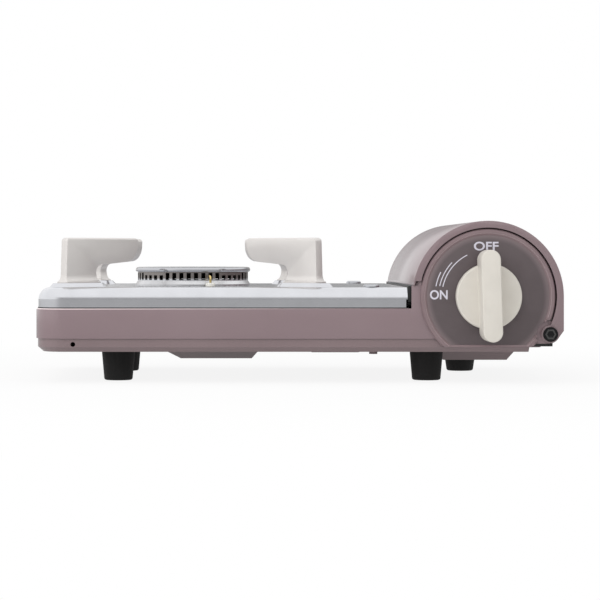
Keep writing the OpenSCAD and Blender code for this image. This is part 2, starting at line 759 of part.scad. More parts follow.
// Two domed screws at the plate's right end
module plate_screws() {
    color([0.7, 0.7, 0.72]) for (y = plate_screw_ys)
        translate([plate_screw_x, y, plate_z]) rotate_extrude() {
            translate([0, -plate_screw_len]) square([plate_screw_r, plate_screw_len]);
            polygon([[0, 0], [plate_screw_head_r, 0],
                [plate_screw_head_r, 0.35 * plate_screw_head_t],
                [0.7 * plate_screw_head_r, 0.85 * plate_screw_head_t],
                [0, plate_screw_head_t]]);
        }
}

// Side view of a support, drawn in distance from the burner's centre and height
module support_outline() {
    top = support_z;
    low = support_foot_z;
    out = support_out_r;
    neck = support_neck_r;
    tip_z = support_arm_z + support_arm_rise;
    round_r = support_round_r;
    flare = support_flare;
    fillet_r = 2 * round_r;
    polygon(concat([[out + flare, low], [out + flare, low + flare / 2],
            [out + 0.3 * flare, low + 1.8 * flare], [out, low + 3.5 * flare]],
        arc([out - support_draft - round_r, top - round_r], round_r, 0, 90, 6),
        arc([support_in_r + round_r, top - round_r], round_r, 90, support_top_turn, 6),
        arc([support_in_r + 0.3 * support_draft + support_tip_r, tip_z + support_tip_r],
            support_tip_r, support_tip_turns[0], support_tip_turns[1], 10),
        arc([neck - fillet_r, support_arm_z - fillet_r], fillet_r, support_neck_turn, 0, 8),
        [[neck - 0.4 * flare, low + 3 * flare], [neck - 0.9 * flare, low + 1.7 * flare],
            [neck - 1.4 * flare, low + 0.8 * flare], [neck - 2 * flare, low + 0.3 * flare],
            [neck - 2 * flare, low]]));
}

// Cross-section of a support, with concave sides down to its foot
module support_section() {
    half = support_t / 2;
    top = support_z;
    low = support_foot_z + support_edge;
    side = concat([[half - support_edge, top], [half, top - support_edge]],
        [for (a = [0:15:90]) [half + support_flare_w * (1 - cos(a)),
            low + support_flare_h * (1 - sin(a))]],
        [[half + support_flare_w, support_foot_z]]);
    polygon(concat([for (p = side) p], [for (i = [len(side) - 1:-1:0]) [-side[i][0], side[i][1]]]));
}

// Cast support: its side view and its cross-section, cut from each other
module pan_support(turn) {
    wide = support_t + 2 * support_flare_w + 2 * overrun;
    color([0.8, 0.79, 0.78]) translate([burner_x, burner_y, 0]) rotate([0, 0, turn])
        difference() {
            intersection() {
                upright(-wide / 2, wide) support_outline();
                crosswise(support_in_r - overrun,
                    support_out_r - support_in_r + support_flare + 2 * overrun)
                    support_section();
            }
            bar_z(support_mid_r, 0, support_foot_z - overrun,
                support_screw_len + overrun, support_screw_r + fit_gap);
        }
}

module pan_support_front_left() {
    pan_support(support_turns[0]);
}

module pan_support_front_right() {
    pan_support(support_turns[1]);
}

module pan_support_rear_left() {
    pan_support(support_turns[2]);
}

module pan_support_rear_right() {
    pan_support(support_turns[3]);
}

// Screws from below the plate's pads into the supports
module support_screws() {
    seat_z = support_foot_z - plate_sheet;
    color([0.6, 0.6, 0.62]) for (t = support_turns)
        at_support(t) {
            bar_z(0, 0, seat_z - support_screw_head_t, support_screw_head_t,
                support_screw_head_r);
            bar_z(0, 0, seat_z, plate_sheet + support_screw_len - fit_gap, support_screw_r);
        }
}

// Dished cap over the ports, with a ring below it that spreads the gas
module burner_cap() {
    rim = cap_r - port_r;
    spread_r = 0.85 * port_r;
    spread_h = 0.76 * (cap_z - port_z);
    color([0.75, 0.76, 0.78]) translate([burner_x, burner_y, cap_z]) rotate_extrude()
        polygon([[0, 0], [spread_r - port_wall, 0], [spread_r - port_wall, -spread_h],
            [spread_r, -spread_h], [spread_r, 0],
            [cap_r - rim / 2, 0], [cap_r, rim / 2], [cap_r, 1.2 * rim],
            [cap_r - 0.4 * rim, 1.9 * rim], [cap_r - 1.4 * rim, 2.1 * rim],
            [cap_r - 3 * rim, 1.7 * rim], [0.6 * cap_r, 1.4 * rim], [0.3 * cap_r, 1.6 * rim],
            [0, 1.7 * rim]]);
}

// Ring of flame ports: tall slots, with three short ones at each support
module burner_port_ring() {
    h = cap_z - port_z;
    pitch = 360 / port_count;
    color([0.62, 0.6, 0.58]) translate([burner_x, burner_y, port_z]) difference() {
        cylinder(h = h, r = port_r);
        translate([0, 0, -overrun]) cylinder(h = h + 2 * overrun, r = port_r - port_wall);
        for (i = [0:port_count - 1]) {
            turn = (i + 0.5) * pitch;
            near = abs((turn % 90) - 45) < 1.6 * pitch;
            top = h * (1 - port_bar_share) * (near ? 1 - port_short_share : 1);
            rotate([0, 0, turn]) translate([port_r - port_wall - overrun, -port_w / 2,
                h * port_bar_share / 2])
                cube([port_wall + 2 * overrun, port_w, top]);
        }
    }
}

// Burner body: flange on the plate, cup, throat and the socket of the mixing tube
module burner_base() {
    cup_r = burner_hole_r - seat_gap;
    in_r = cup_r - burner_wall;
    color([0.7, 0.69, 0.68]) difference() {
        union() {
            translate([burner_x, burner_y, 0]) rotate_extrude()
                polygon([[0, throat_bottom_z], [throat_r, throat_bottom_z],
                    [throat_r, cup_low_z], [cup_r, cup_floor_z], [cup_r, plate_z],
                    [cap_r, plate_z], [cap_r, plate_z + 0.3 * port_h],
                    [port_r, port_z], [0, port_z]]);
            bar_x(burner_x, burner_y, tube_z, tube_socket_len, tube_r + burner_wall);
        }
        translate([burner_x, burner_y, 0]) rotate_extrude()
            polygon([[0, throat_bottom_z + burner_wall],
                [throat_r - burner_wall, throat_bottom_z + burner_wall],
                [throat_r - burner_wall, cup_low_z + 1.2 * burner_wall],
                [in_r, cup_floor_z + burner_wall], [in_r, port_z + overrun],
                [0, port_z + overrun]]);
        bar_x(burner_x, burner_y, tube_z, tube_socket_len + overrun, tube_r + fit_gap);
    }
}

// Mixing tube with its bell mouth and two air slots
module mixing_tube() {
    color([0.66, 0.66, 0.68]) translate([tube_x, burner_y, tube_z]) rotate([0, 90, 0])
        difference() {
            rotate_extrude() polygon([[tube_r - tube_wall, 0], [tube_r, 0],
                [tube_r, tube_len - bell_len], [bell_r, tube_len],
                [bell_r - tube_wall, tube_len],
                [tube_r - tube_wall, tube_len - bell_len]]);
            for (turn = [0, 180])
                rotate([0, 0, turn]) translate([0, -tube_r / 2, tube_len - 2 * bell_len])
                    cube([bell_r, tube_r, 0.7 * bell_len]);
        }
}

// Brass nozzle in the bell's mouth
module gas_nozzle() {
    color([0.75, 0.6, 0.3]) translate([nozzle_x, burner_y, tube_z]) rotate([0, 90, 0]) {
        cylinder(h = nozzle_tip_len, r1 = 0.6 * nozzle_tip_r, r2 = nozzle_tip_r);
        translate([0, 0, nozzle_tip_len]) cylinder(h = nozzle_hex_len, r = nozzle_hex_r, $fn = 6);
        translate([0, 0, nozzle_tip_len + nozzle_hex_len])
            cylinder(h = 3 * nozzle_plate_t, r = nozzle_stub_r);
    }
}

// Bracket that holds the nozzle above the pan
module nozzle_bracket() {
    floor_z = nozzle_recess_z + sheet;
    y0 = burner_y - nozzle_bracket_w / 2;
    y1 = burner_y + nozzle_bracket_w / 2;
    color([0.6, 0.6, 0.62]) difference() {
        union() {
            block(nozzle_plate_x, nozzle_plate_x + nozzle_plate_t, y0, y1, floor_z,
                tube_z + nozzle_bracket_w / 2);
            block(nozzle_plate_x - nozzle_bracket_w / 3, nozzle_plate_x + nozzle_plate_t, y0, y1,
                floor_z, floor_z + nozzle_plate_t);
        }
        bar_x(nozzle_plate_x - overrun, burner_y, tube_z, nozzle_plate_t + 2 * overrun,
            nozzle_stub_r + fit_gap);
    }
}

// Steel pipe from the regulator to the nozzle, bent twice
module gas_pipe() {
    bend = pipe_bend_r;
    run_x = shield_x - bend;
    color([0.72, 0.72, 0.7]) {
        bar_x(nozzle_end_x, burner_y, tube_z, run_x - bend - nozzle_end_x, pipe_r);
        translate([run_x - bend, burner_y - bend, tube_z]) rotate_extrude(angle = 90)
            translate([bend, 0]) circle(r = pipe_r);
        bar_y(run_x, pipe_y + bend, tube_z, burner_y - pipe_y - 2 * bend, pipe_r);
        translate([run_x + bend, pipe_y + bend, tube_z]) rotate([0, 0, 180])
            rotate_extrude(angle = 90) translate([bend, 0]) circle(r = pipe_r);
        bar_x(run_x + bend, pipe_y, tube_z, block_x0 - run_x - bend, pipe_r);
    }
}

// Ceramic sleeve of the spark electrode
module electrode_insulator() {
    color([0.93, 0.92, 0.88]) translate([electrode_x, electrode_y, 0]) difference() {
        rotate_extrude() polygon([[0, insulator_low_z], [insulator_r, insulator_low_z],
            [insulator_r, insulator_collar_z], [insulator_collar_r, insulator_collar_z],
            [insulator_collar_r, plate_z - plate_sheet - electrode_strap_t],
            [insulator_r, plate_z - plate_sheet - electrode_strap_t],
            [insulator_r, insulator_top_z - fit_gap * 4],
            [insulator_r - fit_gap * 4, insulator_top_z], [0, insulator_top_z]]);
        translate([0, 0, insulator_low_z + insulator_r])
            cylinder(h = insulator_top_z, r = pin_r + fit_gap);
    }
}

// Spark pin, hooked over towards the ports
module electrode_pin() {
    bend = 3 * pin_r;
    bend_z = pin_top_z - pin_r - bend;
    low_z = insulator_low_z + insulator_r;
    color([0.85, 0.8, 0.6]) translate([electrode_x, electrode_y, 0])
        rotate([0, 0, electrode_turn + 180]) {
            bar_z(0, 0, low_z, bend_z - low_z, pin_r);
            translate([bend, 0, bend_z]) rotate([90, 0, 0]) rotate([0, 0, 90])
                rotate_extrude(angle = 90) translate([bend, 0]) circle(r = pin_r);
            bar_x(bend, 0, bend_z + bend, pin_hook - bend, pin_r);
        }
}

// Strap below the plate that carries the ceramic sleeve
module electrode_bracket() {
    color([0.6, 0.6, 0.62]) difference() {
        block(electrode_x - electrode_strap_w / 2, electrode_x + electrode_strap_w / 2,
            electrode_y - electrode_strap_w / 2, electrode_y + electrode_strap_w / 2,
            plate_z - plate_sheet - electrode_strap_t, plate_z - plate_sheet);
        bar_z(electrode_x, electrode_y, insulator_collar_z, insulator_drop,
            insulator_r + fit_gap);
        bar_z(burner_x, burner_y, insulator_collar_z, insulator_drop, burner_hole_r + fit_gap);
    }
}

// Sweeps a ring of points along the lead's route
function unit(v) = v / norm(v);
function heading(p, i) = unit(p[min(i + 1, len(p) - 1)] - p[max(i - 1, 0)]);
function ring(p, i, r, n) =
    let (t = heading(p, i), a = unit(cross(t, [0.13, 1, 0.21])), b = cross(t, a))
    [for (k = [0:n - 1]) p[i] + r * (cos(360 * k / n) * a + sin(360 * k / n) * b)];

module ignition_lead() {
    n = lead_sides;
    m = len(lead_route);
    points = [for (i = [0:m - 1]) each ring(lead_route, i, lead_r, n)];
    sides = [for (i = [0:m - 2], k = [0:n - 1]) each [
        [i * n + k, i * n + (k + 1) % n, (i + 1) * n + k],
        [i * n + (k + 1) % n, (i + 1) * n + (k + 1) % n, (i + 1) * n + k]]];
    ends = [[for (k = [n - 1:-1:0]) k], [for (k = [0:n - 1]) (m - 1) * n + k]];
    color([0.85, 0.85, 0.83]) polyhedron(points = points, faces = concat(sides, ends));
}

// Piezo igniter beside the regulator
module piezo_igniter() {
    color([0.2, 0.2, 0.21]) difference() {
        block(igniter_x0, igniter_x1, wall_in_y + fit_gap, igniter_back_y,
            cover_z - igniter_h / 2, cover_z + igniter_h / 2);
        bar_x(igniter_x1 - 2.7 * plunger_travel, plunger_y, cover_z,
            2.7 * plunger_travel + overrun, plunger_r + running_gap);
    }
}

// Plunger that the cam pushes into the igniter
module piezo_plunger() {
    len = plunger_tip_x - igniter_x1 + 1.5 * plunger_travel;
    color([0.9, 0.9, 0.88]) translate([plunger_tip_x - len, plunger_y, cover_z])
        rotate([0, 90, 0]) rotate_extrude() {
            square([plunger_r, len - plunger_r]);
            translate([0, len - plunger_r]) intersection() {
                circle(r = plunger_r);
                square([plunger_r, plunger_r]);
            }
        }
}

// Die-cast regulator and valve block with the canister's socket
module gas_governor() {
    back = block_y + block_d;
    color([0.68, 0.68, 0.69]) difference() {
        union() {
            block(block_x0, block_x1, block_y, back, block_z0, block_z1);
            bar_y(cover_x, back, cover_z, socket_len, socket_boss_r);
        }
        bar_y(cover_x, block_y - overrun, cover_z, block_d / 2 + overrun,
            spindle_r + running_gap);
        bar_y(cover_x, back + socket_len - socket_depth, cover_z, socket_depth + overrun,
            socket_r);
    }
}

// Round housing of the pressure regulator's diaphragm, with its adjusting screw
module governor_cap() {
    back = block_y + block_d;
    color([0.72, 0.72, 0.73]) translate([cover_x, back - diaphragm_r - seat_gap, block_z1])
        rotate_extrude() polygon([[0, 0], [diaphragm_r, 0], [diaphragm_r, 0.4 * diaphragm_t],
            [0.85 * diaphragm_r, diaphragm_t], [adjuster_r, diaphragm_t],
            [adjuster_r, diaphragm_t + adjuster_t], [0, diaphragm_t + adjuster_t]]);
}

// Bent bracket that hangs the regulator on the end wall
module governor_bracket() {
    color([0.6, 0.6, 0.62]) difference() {
        union() {
            block(block_x0 - bracket_t, block_x1 + bracket_t, wall_in_y, wall_in_y + bracket_t,
                pan_wall_z + seat_gap, block_z1);
            for (x = [block_x0 - bracket_t, block_x1])
                block(x, x + bracket_t, wall_in_y, block_y + block_d / 4,
                    pan_wall_z + seat_gap, block_z1);
        }
        bar_y(cover_x, wall_in_y - overrun, cover_z, bracket_t + 2 * overrun, spindle_hole_r);
        bar_x(block_x0 - bracket_t - overrun, plunger_y, cover_z, bracket_t + 2 * overrun,
            plunger_hole_r);
    }
}

// Ring magnet that holds the canister on its socket
module canister_magnet() {
    color([0.15, 0.15, 0.16]) difference() {
        bar_y(cover_x, block_y + block_d, cover_z, magnet_t, magnet_r);
        bar_y(cover_x, block_y + block_d - overrun, cover_z, magnet_t + 2 * overrun,
            socket_boss_r + fit_gap);
    }
}

// Valve spindle, from the knob into the regulator
module valve_spindle() {
    color([0.8, 0.7, 0.4])
        bar_y(cover_x, spindle_y0, cover_z, block_y + 0.4 * block_d - spindle_y0, spindle_r);
}

// Cam whose rise is even over the knob's quarter turn, so that the plunger keeps step
module valve_cam() {
    low = [for (i = [0:cam_steps]) let (a = 180 - 90 * i / cam_steps)
        (cam_r + plunger_travel * i / cam_steps) * [cos(a), sin(a)]];
    dwell = arc([0, 0], cam_r + plunger_travel, 90, 90 - cam_dwell, 8);
    rest = arc([0, 0], cam_r, 90 - cam_dwell, -174, 30);
    color([0.85, 0.83, 0.78]) upright(cam_y, cam_w) translate([cover_x, cover_z]) difference() {
        polygon(concat(low, dwell, rest));
        circle(r = spindle_r + fit_gap);
    }
}

// Moulded knob: a disc and a grip bar with tapering sides, on the spindle
module control_knob() {
    disc_front_y = knob_back_y - knob_disc_t;
    bar_len = knob_back_y - knob_face_y - fit_gap;
    half = grip_len / 2 - grip_w / 2;
    color([0.86, 0.84, 0.8]) difference() {
        union() {
            translate([cover_x, knob_back_y, cover_z]) rotate([90, 0, 0]) rotate_extrude()
                polygon([[0, 0], [knob_r, 0], [knob_r, knob_disc_t - knob_edge],
                    [knob_r - 0.3 * knob_edge, knob_disc_t - 0.3 * knob_edge],
                    [knob_r - knob_edge, knob_disc_t], [0, knob_disc_t]]);
            intersection() {
                upright(knob_face_y, bar_len) translate([cover_x, cover_z]) {
                    for (z = [-half, half])
                        translate([0, z]) circle(r = grip_w / 2);
                    translate([-grip_w / 2, -half]) square([grip_w, 2 * half]);
                }
                translate([cover_x, 0, cover_z - grip_len / 2]) linear_extrude(height = grip_len)
                    polygon([[-grip_w / 2, knob_back_y], [grip_w / 2, knob_back_y],
                        [grip_face_w / 2, knob_face_y + grip_edge],
                        [grip_face_w / 2 - grip_edge, knob_face_y],
                        [grip_edge - grip_face_w / 2, knob_face_y],
                        [-grip_face_w / 2, knob_face_y + grip_edge]]);
            }
        }
        bar_y(cover_x, spindle_y0 - fit_gap, cover_z, knob_back_y - spindle_y0 + overrun,
            spindle_r + fit_gap);
        difference() {
            bar_y(cover_x, disc_front_y + knob_floor_t, cover_z, knob_disc_t,
                knob_r - knob_floor_t);
            bar_y(cover_x, disc_front_y, cover_z, 2 * knob_disc_t, spindle_r + knob_floor_t);
        }
    }
}

// Outline of the control panel: a disc with a flat foot and room for the hinge
module panel_outline(r, drop) {
    difference() {
        translate([cover_x, cover_z]) circle(r = r);
        translate([cover_x - cover_r, cover_z - drop - cover_r])
            square([2 * cover_r, cover_r]);
        translate([hinge_x, hinge_z]) circle(r = hinge_notch_r);
    }
}

// Control panel: a bevelled ring round the recess of the dial
module control_panel() {
    color([0.55, 0.47, 0.48]) difference() {
        intersection() {
            upright(front_y, panel_t) panel_outline(panel_r, panel_drop);
            union() {
                translate([cover_x, front_y, cover_z]) rotate([-90, 0, 0])
                    cylinder(h = panel_bevel, r1 = panel_r - panel_bevel, r2 = panel_r);
                bar_y(cover_x, front_y + panel_bevel, cover_z, panel_t - panel_bevel, panel_r);
            }
        }
        upright(front_y - overrun, dial_recess + overrun)
            panel_outline(dial_r + fit_gap, panel_drop - panel_lip);
        bar_y(cover_x, front_y - overrun, cover_z, panel_t + 2 * overrun, spindle_hole_r);
    }
}

// Dark dial face in the panel's recess
module dial_plate() {
    color([0.36, 0.33, 0.33]) upright(front_y + dial_recess - dial_t, dial_t) difference() {
        panel_outline(dial_r, panel_drop - panel_lip - fit_gap);
        translate([cover_x, cover_z]) circle(r = spindle_hole_r);
    }
}

// Area of the bay seen from the front: a circle with a straight right side below it
module bay_area(r) {
    translate([cover_x, cover_z]) circle(r = r);
    translate([cover_x, 0]) square([r, cover_z]);
}

// What lies below the cover's lower edges, on its left to z and on its right
module below_cover(z) {
    translate([cover_x - stove_h, -stove_h]) square([stove_h, stove_h + z]);
    translate([cover_x - overrun, -stove_h]) square([stove_h, stove_h + cover_side_z]);
}

// The ear that carries the hinge, with its slanted corner, clear of the panel
module ear_area() {
    difference() {
        polygon([[cover_x + cover_rim_r, cover_z], [cover_x + cover_r, cover_z],
            [cover_x + cover_r, ear_top_z], ear_tip, [hinge_x, hinge_z],
            [hinge_x - 0.4 * ear_r, hinge_z + 1.8 * ear_r]]);
        translate([cover_x, cover_z]) circle(r = cover_rim_r);
    }
    translate([hinge_x, hinge_z]) circle(r = ear_r);
}

// Canister cover: a bent skin with a rim in front and a closed rear wall
module canister_cover() {
    color([0.56, 0.48, 0.49]) difference() {
        union() {
            upright(front_y, back_y - front_y) difference() {
                bay_area(cover_r);
                bay_area(cover_r - cover_sheet);
                below_cover(cover_left_z);
            }
            upright(front_y, cover_sheet) {
                difference() {
                    bay_area(cover_r);
                    translate([cover_x, cover_z]) circle(r = cover_rim_r);
                    below_cover(rim_end_z);
                }
                ear_area();
            }
            upright(back_y - cover_sheet, cover_sheet) {
                difference() {
                    bay_area(cover_r);
                    below_cover(cover_side_z - stove_h);
                    polygon([[cover_x - stove_h, -stove_h], [cover_x - stove_h, cover_left_z],
                        [cover_x - cover_r, cover_left_z], [hinge_x - ear_r, cover_side_z],
                        [hinge_x - ear_r, -stove_h]]);
                }
                ear_area();
            }
        }
        for (y = [front_y, back_y - cover_sheet])
            bar_y(hinge_x, y - overrun, hinge_z, cover_sheet + 2 * overrun,
                hinge_pin_r + running_gap);
    }
}

// Black block behind the end wall, beside the shell, that clamps a hinge pin
module hinge_block(y) {
    upright(y, hinge_block_d) difference() {
        union() {
            translate([hinge_x, hinge_z]) circle(r = hinge_block_r);
            translate([hinge_x - hinge_block_r, hinge_strip_z])
                square([1.5 * hinge_block_r, hinge_z - hinge_strip_z]);
        }
        translate([hinge_x, hinge_z]) circle(r = hinge_pin_r + fit_gap);
    }
}

// The strip of a hinge bracket below the shell's edge, with a slanted right end
module hinge_strip(y) {
    top_z = hinge_strip_z + hinge_strip_t;
    right_x = hinge_x + 0.5 * hinge_block_r;
    upright(y, sheet) polygon([[right_x - hinge_strip_w, hinge_strip_z],
        [right_x - hinge_strip_t / 2, hinge_strip_z], [right_x, top_z],
        [right_x - hinge_strip_w, top_z]]);
}

module hinge_bracket_front() {
    color([0.08, 0.08, 0.08]) {
        hinge_block(wall_in_y);
        hinge_strip(shell_front_y);
    }
}

module hinge_bracket_rear() {
    color([0.08, 0.08, 0.08]) {
        hinge_block(shell_back_y - sheet - hinge_block_d);
        hinge_strip(shell_back_y - sheet);
    }
}

// Hinge screw in front, with a round head and a socket
module hinge_pin_front() {
    head_y = front_y - fit_gap - hinge_head_t;
    color([0.07, 0.07, 0.07]) difference() {
        union() {
            bar_y(hinge_x, head_y, hinge_z, hinge_head_t, hinge_head_r);
            bar_y(hinge_x, head_y, hinge_z, wall_in_y + hinge_block_d - head_y, hinge_pin_r);
        }
        translate([hinge_x, head_y - overrun, hinge_z]) rotate([-90, 0, 0])
            cylinder(h = 0.6 * hinge_head_t + overrun, r = hinge_pin_r, $fn = 6);
    }
}

// Hinge pin at the rear, put in from inside, with its end flush
module hinge_pin_rear() {
    inner_y = shell_back_y - sheet - hinge_block_d;
    color([0.07, 0.07, 0.07]) {
        bar_y(hinge_x, inner_y - hinge_head_t, hinge_z, hinge_head_t, 1.5 * hinge_pin_r);
        bar_y(hinge_x, inner_y, hinge_z, back_y - inner_y, hinge_pin_r);
    }
}

// Aluminium strip that carries some of the burner's warmth to the canister
module heat_panel() {
    top_z = plate_z - plate_sheet;
    color([0.82, 0.82, 0.83]) {
        block(heat_x0, heat_x0 + heat_tab_w, heat_y0, heat_y1, top_z - heat_t, top_z);
        block(heat_x0 + heat_tab_w - heat_t, heat_x0 + heat_tab_w, heat_y0, heat_y1,
            heat_z, top_z);
        block(heat_x0 + heat_tab_w - heat_t, heat_leg_x, heat_y0, heat_y1, heat_z,
            heat_z + heat_t);
        block(heat_leg_x - heat_t, heat_leg_x, heat_y0, heat_y1, heat_z - heat_leg_h,
            heat_z + heat_t);
    }
}

// Tapering rubber foot with a sunk hole for its screw
module foot(f) {
    edge = 0.08 * foot_r;
    color([0.13, 0.13, 0.12]) translate([f[0], f[1], 0]) rotate_extrude()
        polygon([[foot_screw_r + fit_gap, f[2]], [foot_top_r, f[2]], [foot_r, edge],
            [foot_r - edge, 0], [foot_head_r + fit_gap, 0],
            [foot_head_r + fit_gap, f[2] / 2], [foot_screw_r + fit_gap, f[2] / 2]]);
}

module foot_front_left() {
    foot(feet[0]);
}

module foot_front_right() {
    foot(feet[1]);
}

module foot_rear_left() {
    foot(feet[2]);
}

module foot_rear_right() {
    foot(feet[3]);
}

// Screws through the feet, each with its nut on the pan
module foot_screws() {
    color([0.62, 0.62, 0.64]) for (f = feet)
        translate([f[0], f[1], 0]) {
            bar_z(0, 0, f[2] / 2 - foot_head_t, foot_head_t, foot_head_r);
            bar_z(0, 0, f[2] / 2, f[3] + sheet + foot_nut_t - f[2] / 2, foot_screw_r);
            translate([0, 0, f[3] + sheet]) cylinder(h = foot_nut_t, r = foot_nut_r, $fn = 6);
        }
}

body_shell();
bottom_pan();
heat_shield();
top_plate();
plate_screws();
pan_support_front_left();
pan_support_front_right();
pan_support_rear_left();
pan_support_rear_right();
support_screws();
burner_cap();
burner_port_ring();
burner_base();
mixing_tube();
gas_nozzle();
nozzle_bracket();
gas_pipe();
electrode_insulator();
electrode_pin();
electrode_bracket();
ignition_lead();
piezo_igniter();
piezo_plunger();
gas_governor();
governor_cap();
governor_bracket();
canister_magnet();
valve_spindle();
valve_cam();
control_knob();
control_panel();
dial_plate();
canister_cover();
hinge_bracket_front();
hinge_bracket_rear();
hinge_pin_front();
hinge_pin_rear();
heat_panel();
foot_front_left();
foot_front_right();
foot_rear_left();
foot_rear_right();
foot_screws();
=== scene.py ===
# %% [markdown]
# # A butane cassette stove
# This lesson dresses a tabletop gas stove. The stove's sheet metal, burner, valve and
# hinge already exist as an exact model, which is loaded as a fixed frame. Here each
# visible piece gets its finish, and the pieces whose edges catch the light are made
# again with soft edges. Everything is in metres, X to the right, Y to the rear, Z up.

# %% Load the frame
import json
import math

import bmesh
import bpy
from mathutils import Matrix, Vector

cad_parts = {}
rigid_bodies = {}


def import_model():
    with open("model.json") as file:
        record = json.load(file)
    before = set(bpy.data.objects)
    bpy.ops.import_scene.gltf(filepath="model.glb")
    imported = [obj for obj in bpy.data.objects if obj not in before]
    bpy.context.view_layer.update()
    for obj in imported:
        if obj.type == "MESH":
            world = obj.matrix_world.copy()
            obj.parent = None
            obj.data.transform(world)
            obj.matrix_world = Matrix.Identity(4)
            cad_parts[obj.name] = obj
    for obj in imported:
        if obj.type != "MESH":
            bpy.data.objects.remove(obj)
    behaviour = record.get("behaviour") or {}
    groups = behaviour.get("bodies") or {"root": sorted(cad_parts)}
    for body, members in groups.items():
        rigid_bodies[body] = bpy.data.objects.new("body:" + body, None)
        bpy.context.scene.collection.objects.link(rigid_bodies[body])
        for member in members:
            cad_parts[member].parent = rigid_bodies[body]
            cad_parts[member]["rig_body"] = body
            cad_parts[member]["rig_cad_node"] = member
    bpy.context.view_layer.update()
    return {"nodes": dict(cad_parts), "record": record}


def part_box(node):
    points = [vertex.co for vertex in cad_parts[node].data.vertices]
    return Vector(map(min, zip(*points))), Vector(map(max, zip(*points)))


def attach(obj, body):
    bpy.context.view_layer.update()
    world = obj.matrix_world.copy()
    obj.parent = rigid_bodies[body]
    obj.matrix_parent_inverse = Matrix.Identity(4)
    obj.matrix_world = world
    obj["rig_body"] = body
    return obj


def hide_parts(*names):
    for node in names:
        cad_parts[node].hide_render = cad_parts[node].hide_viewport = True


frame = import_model()
nodes = frame["nodes"]
MM = 0.001

# %% [markdown]
# The main places are read from the frame's own boxes, so that each new piece sits on
# what carries it: the axis of the knob, the foot of the burner's cap and the front end
# of the hinge. Sizes of finish, such as a bend's radius, are given in millimetres.

# %% Places read from the frame
knob_low, knob_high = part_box("control_knob")
dial_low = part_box("dial_plate")[0]
cap_low, cap_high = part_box("burner_cap")
pin_low, pin_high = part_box("hinge_pin_front")
knob_x = (knob_low.x + knob_high.x) / 2
knob_z = (knob_low.z + knob_high.z) / 2
burner = Vector(((cap_low.x + cap_high.x) / 2, (cap_low.y + cap_high.y) / 2, cap_low.z))
hinge = Vector(((pin_low.x + pin_high.x) / 2, pin_low.y, (pin_low.z + pin_high.z) / 2))
print("knob axis", round(knob_x, 4), round(knob_z, 4))
print("burner", [round(v, 4) for v in burner], "hinge", [round(v, 4) for v in hinge])

# %% [markdown]
# ## Camera
# The photograph was taken with a long lens from about a metre away, level with the pan
# supports and a little left of the middle. A level camera keeps the uprights upright.
# The lens shift then frames the stove, as a view camera would, without tilting. The
# lens follows from the scale of the stove's front, in the photograph's pixels.

# %% The camera
PHOTO = 600                 # pixels along each side of the photograph
SCALE = 1.854 / MM          # pixels per metre at the stove's front
AHEAD = (215, 254)          # the pixel straight ahead of the lens
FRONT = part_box("canister_cover")[0].y
DISTANCE = 1.15
SENSOR = 36
eye = Vector((-45.2 * MM, FRONT - DISTANCE, 70.05 * MM))
bpy.ops.object.camera_add(location=eye, rotation=(math.radians(90), 0, 0))
camera = bpy.context.active_object
camera.name = "photo_camera"
camera.data.sensor_width = SENSOR
camera.data.lens = SENSOR * DISTANCE * SCALE / PHOTO
camera.data.shift_x = (PHOTO / 2 - AHEAD[0]) / PHOTO
camera.data.shift_y = (AHEAD[1] - PHOTO / 2) / PHOTO
camera.data.clip_start = 0.01
bpy.context.scene.camera = camera
print("lens", round(camera.data.lens, 1), "mm")

# %% [markdown]
# ## Small tools
# Blender's operators act on all that is selected, and loading leaves the nodes
# selected. So one helper leaves a single object selected, and three more pick faces,
# edges or points by their place and normal, as one would click them.

# %% Selecting by place
FACING = 0.9                # share of a normal along the axis that its face looks along
TOUCH = 0.01 * MM           # a point of a new piece this near to a plane lies on it
CLOSE = 0.03 * MM           # the same for a point of the exact model


def only(obj):
    """Leaves obj as the single selected and active object."""
    bpy.ops.object.select_all(action="DESELECT")
    obj.select_set(True)
    bpy.context.view_layer.objects.active = obj


def start_picking(obj, kind):
    """In edit mode, deselects all, and gives the mesh whose parts of a kind are picked."""
    bpy.ops.mesh.select_mode(type=kind)
    bpy.ops.mesh.select_all(action="DESELECT")
    return bmesh.from_edit_mesh(obj.data)


def pick_faces(obj, wanted):
    """In edit mode, selects the faces whose centre and normal are wanted."""
    for face in start_picking(obj, "FACE").faces:
        face.select_set(bool(wanted(face.calc_center_median(), face.normal)))
    bmesh.update_edit_mesh(obj.data)


def pick_edges(obj, wanted):
    """In edit mode, selects the edges whose two ends are wanted."""
    for edge in start_picking(obj, "EDGE").edges:
        edge.select_set(bool(wanted(edge.verts[0].co, edge.verts[1].co)))
    bmesh.update_edit_mesh(obj.data)


def pick_points(obj, wanted):
    """In edit mode, selects the points that are wanted."""
    mesh = start_picking(obj, "VERT")
    for point in mesh.verts:
        point.select_set(bool(wanted(point.co)))
    mesh.select_flush(True)
    bmesh.update_edit_mesh(obj.data)


# %% [markdown]
# A piece starts as a primitive that is opened in edit mode, is drawn out and finished
# there, and then settles: its place goes into its mesh, and it rides on a body. A piece
# that repeats is modelled once, and each copy has a mesh of its own.

# %% Starting, shaping and settling a piece
def begin(add_primitive, **settings):
    """Adds a primitive by itself, at its size and place, and opens it in edit mode."""
    bpy.ops.object.select_all(action="DESELECT")
    add_primitive(**settings)
    made = bpy.context.active_object
    bpy.ops.object.transform_apply(location=True, rotation=True, scale=True)
    bpy.ops.object.mode_set(mode="EDIT")
    return made


def draw_out(x=0, y=0, z=0):
    """In edit mode, extrudes what is selected."""
    bpy.ops.mesh.extrude_region_move(TRANSFORM_OT_translate={"value": (x, y, z)})


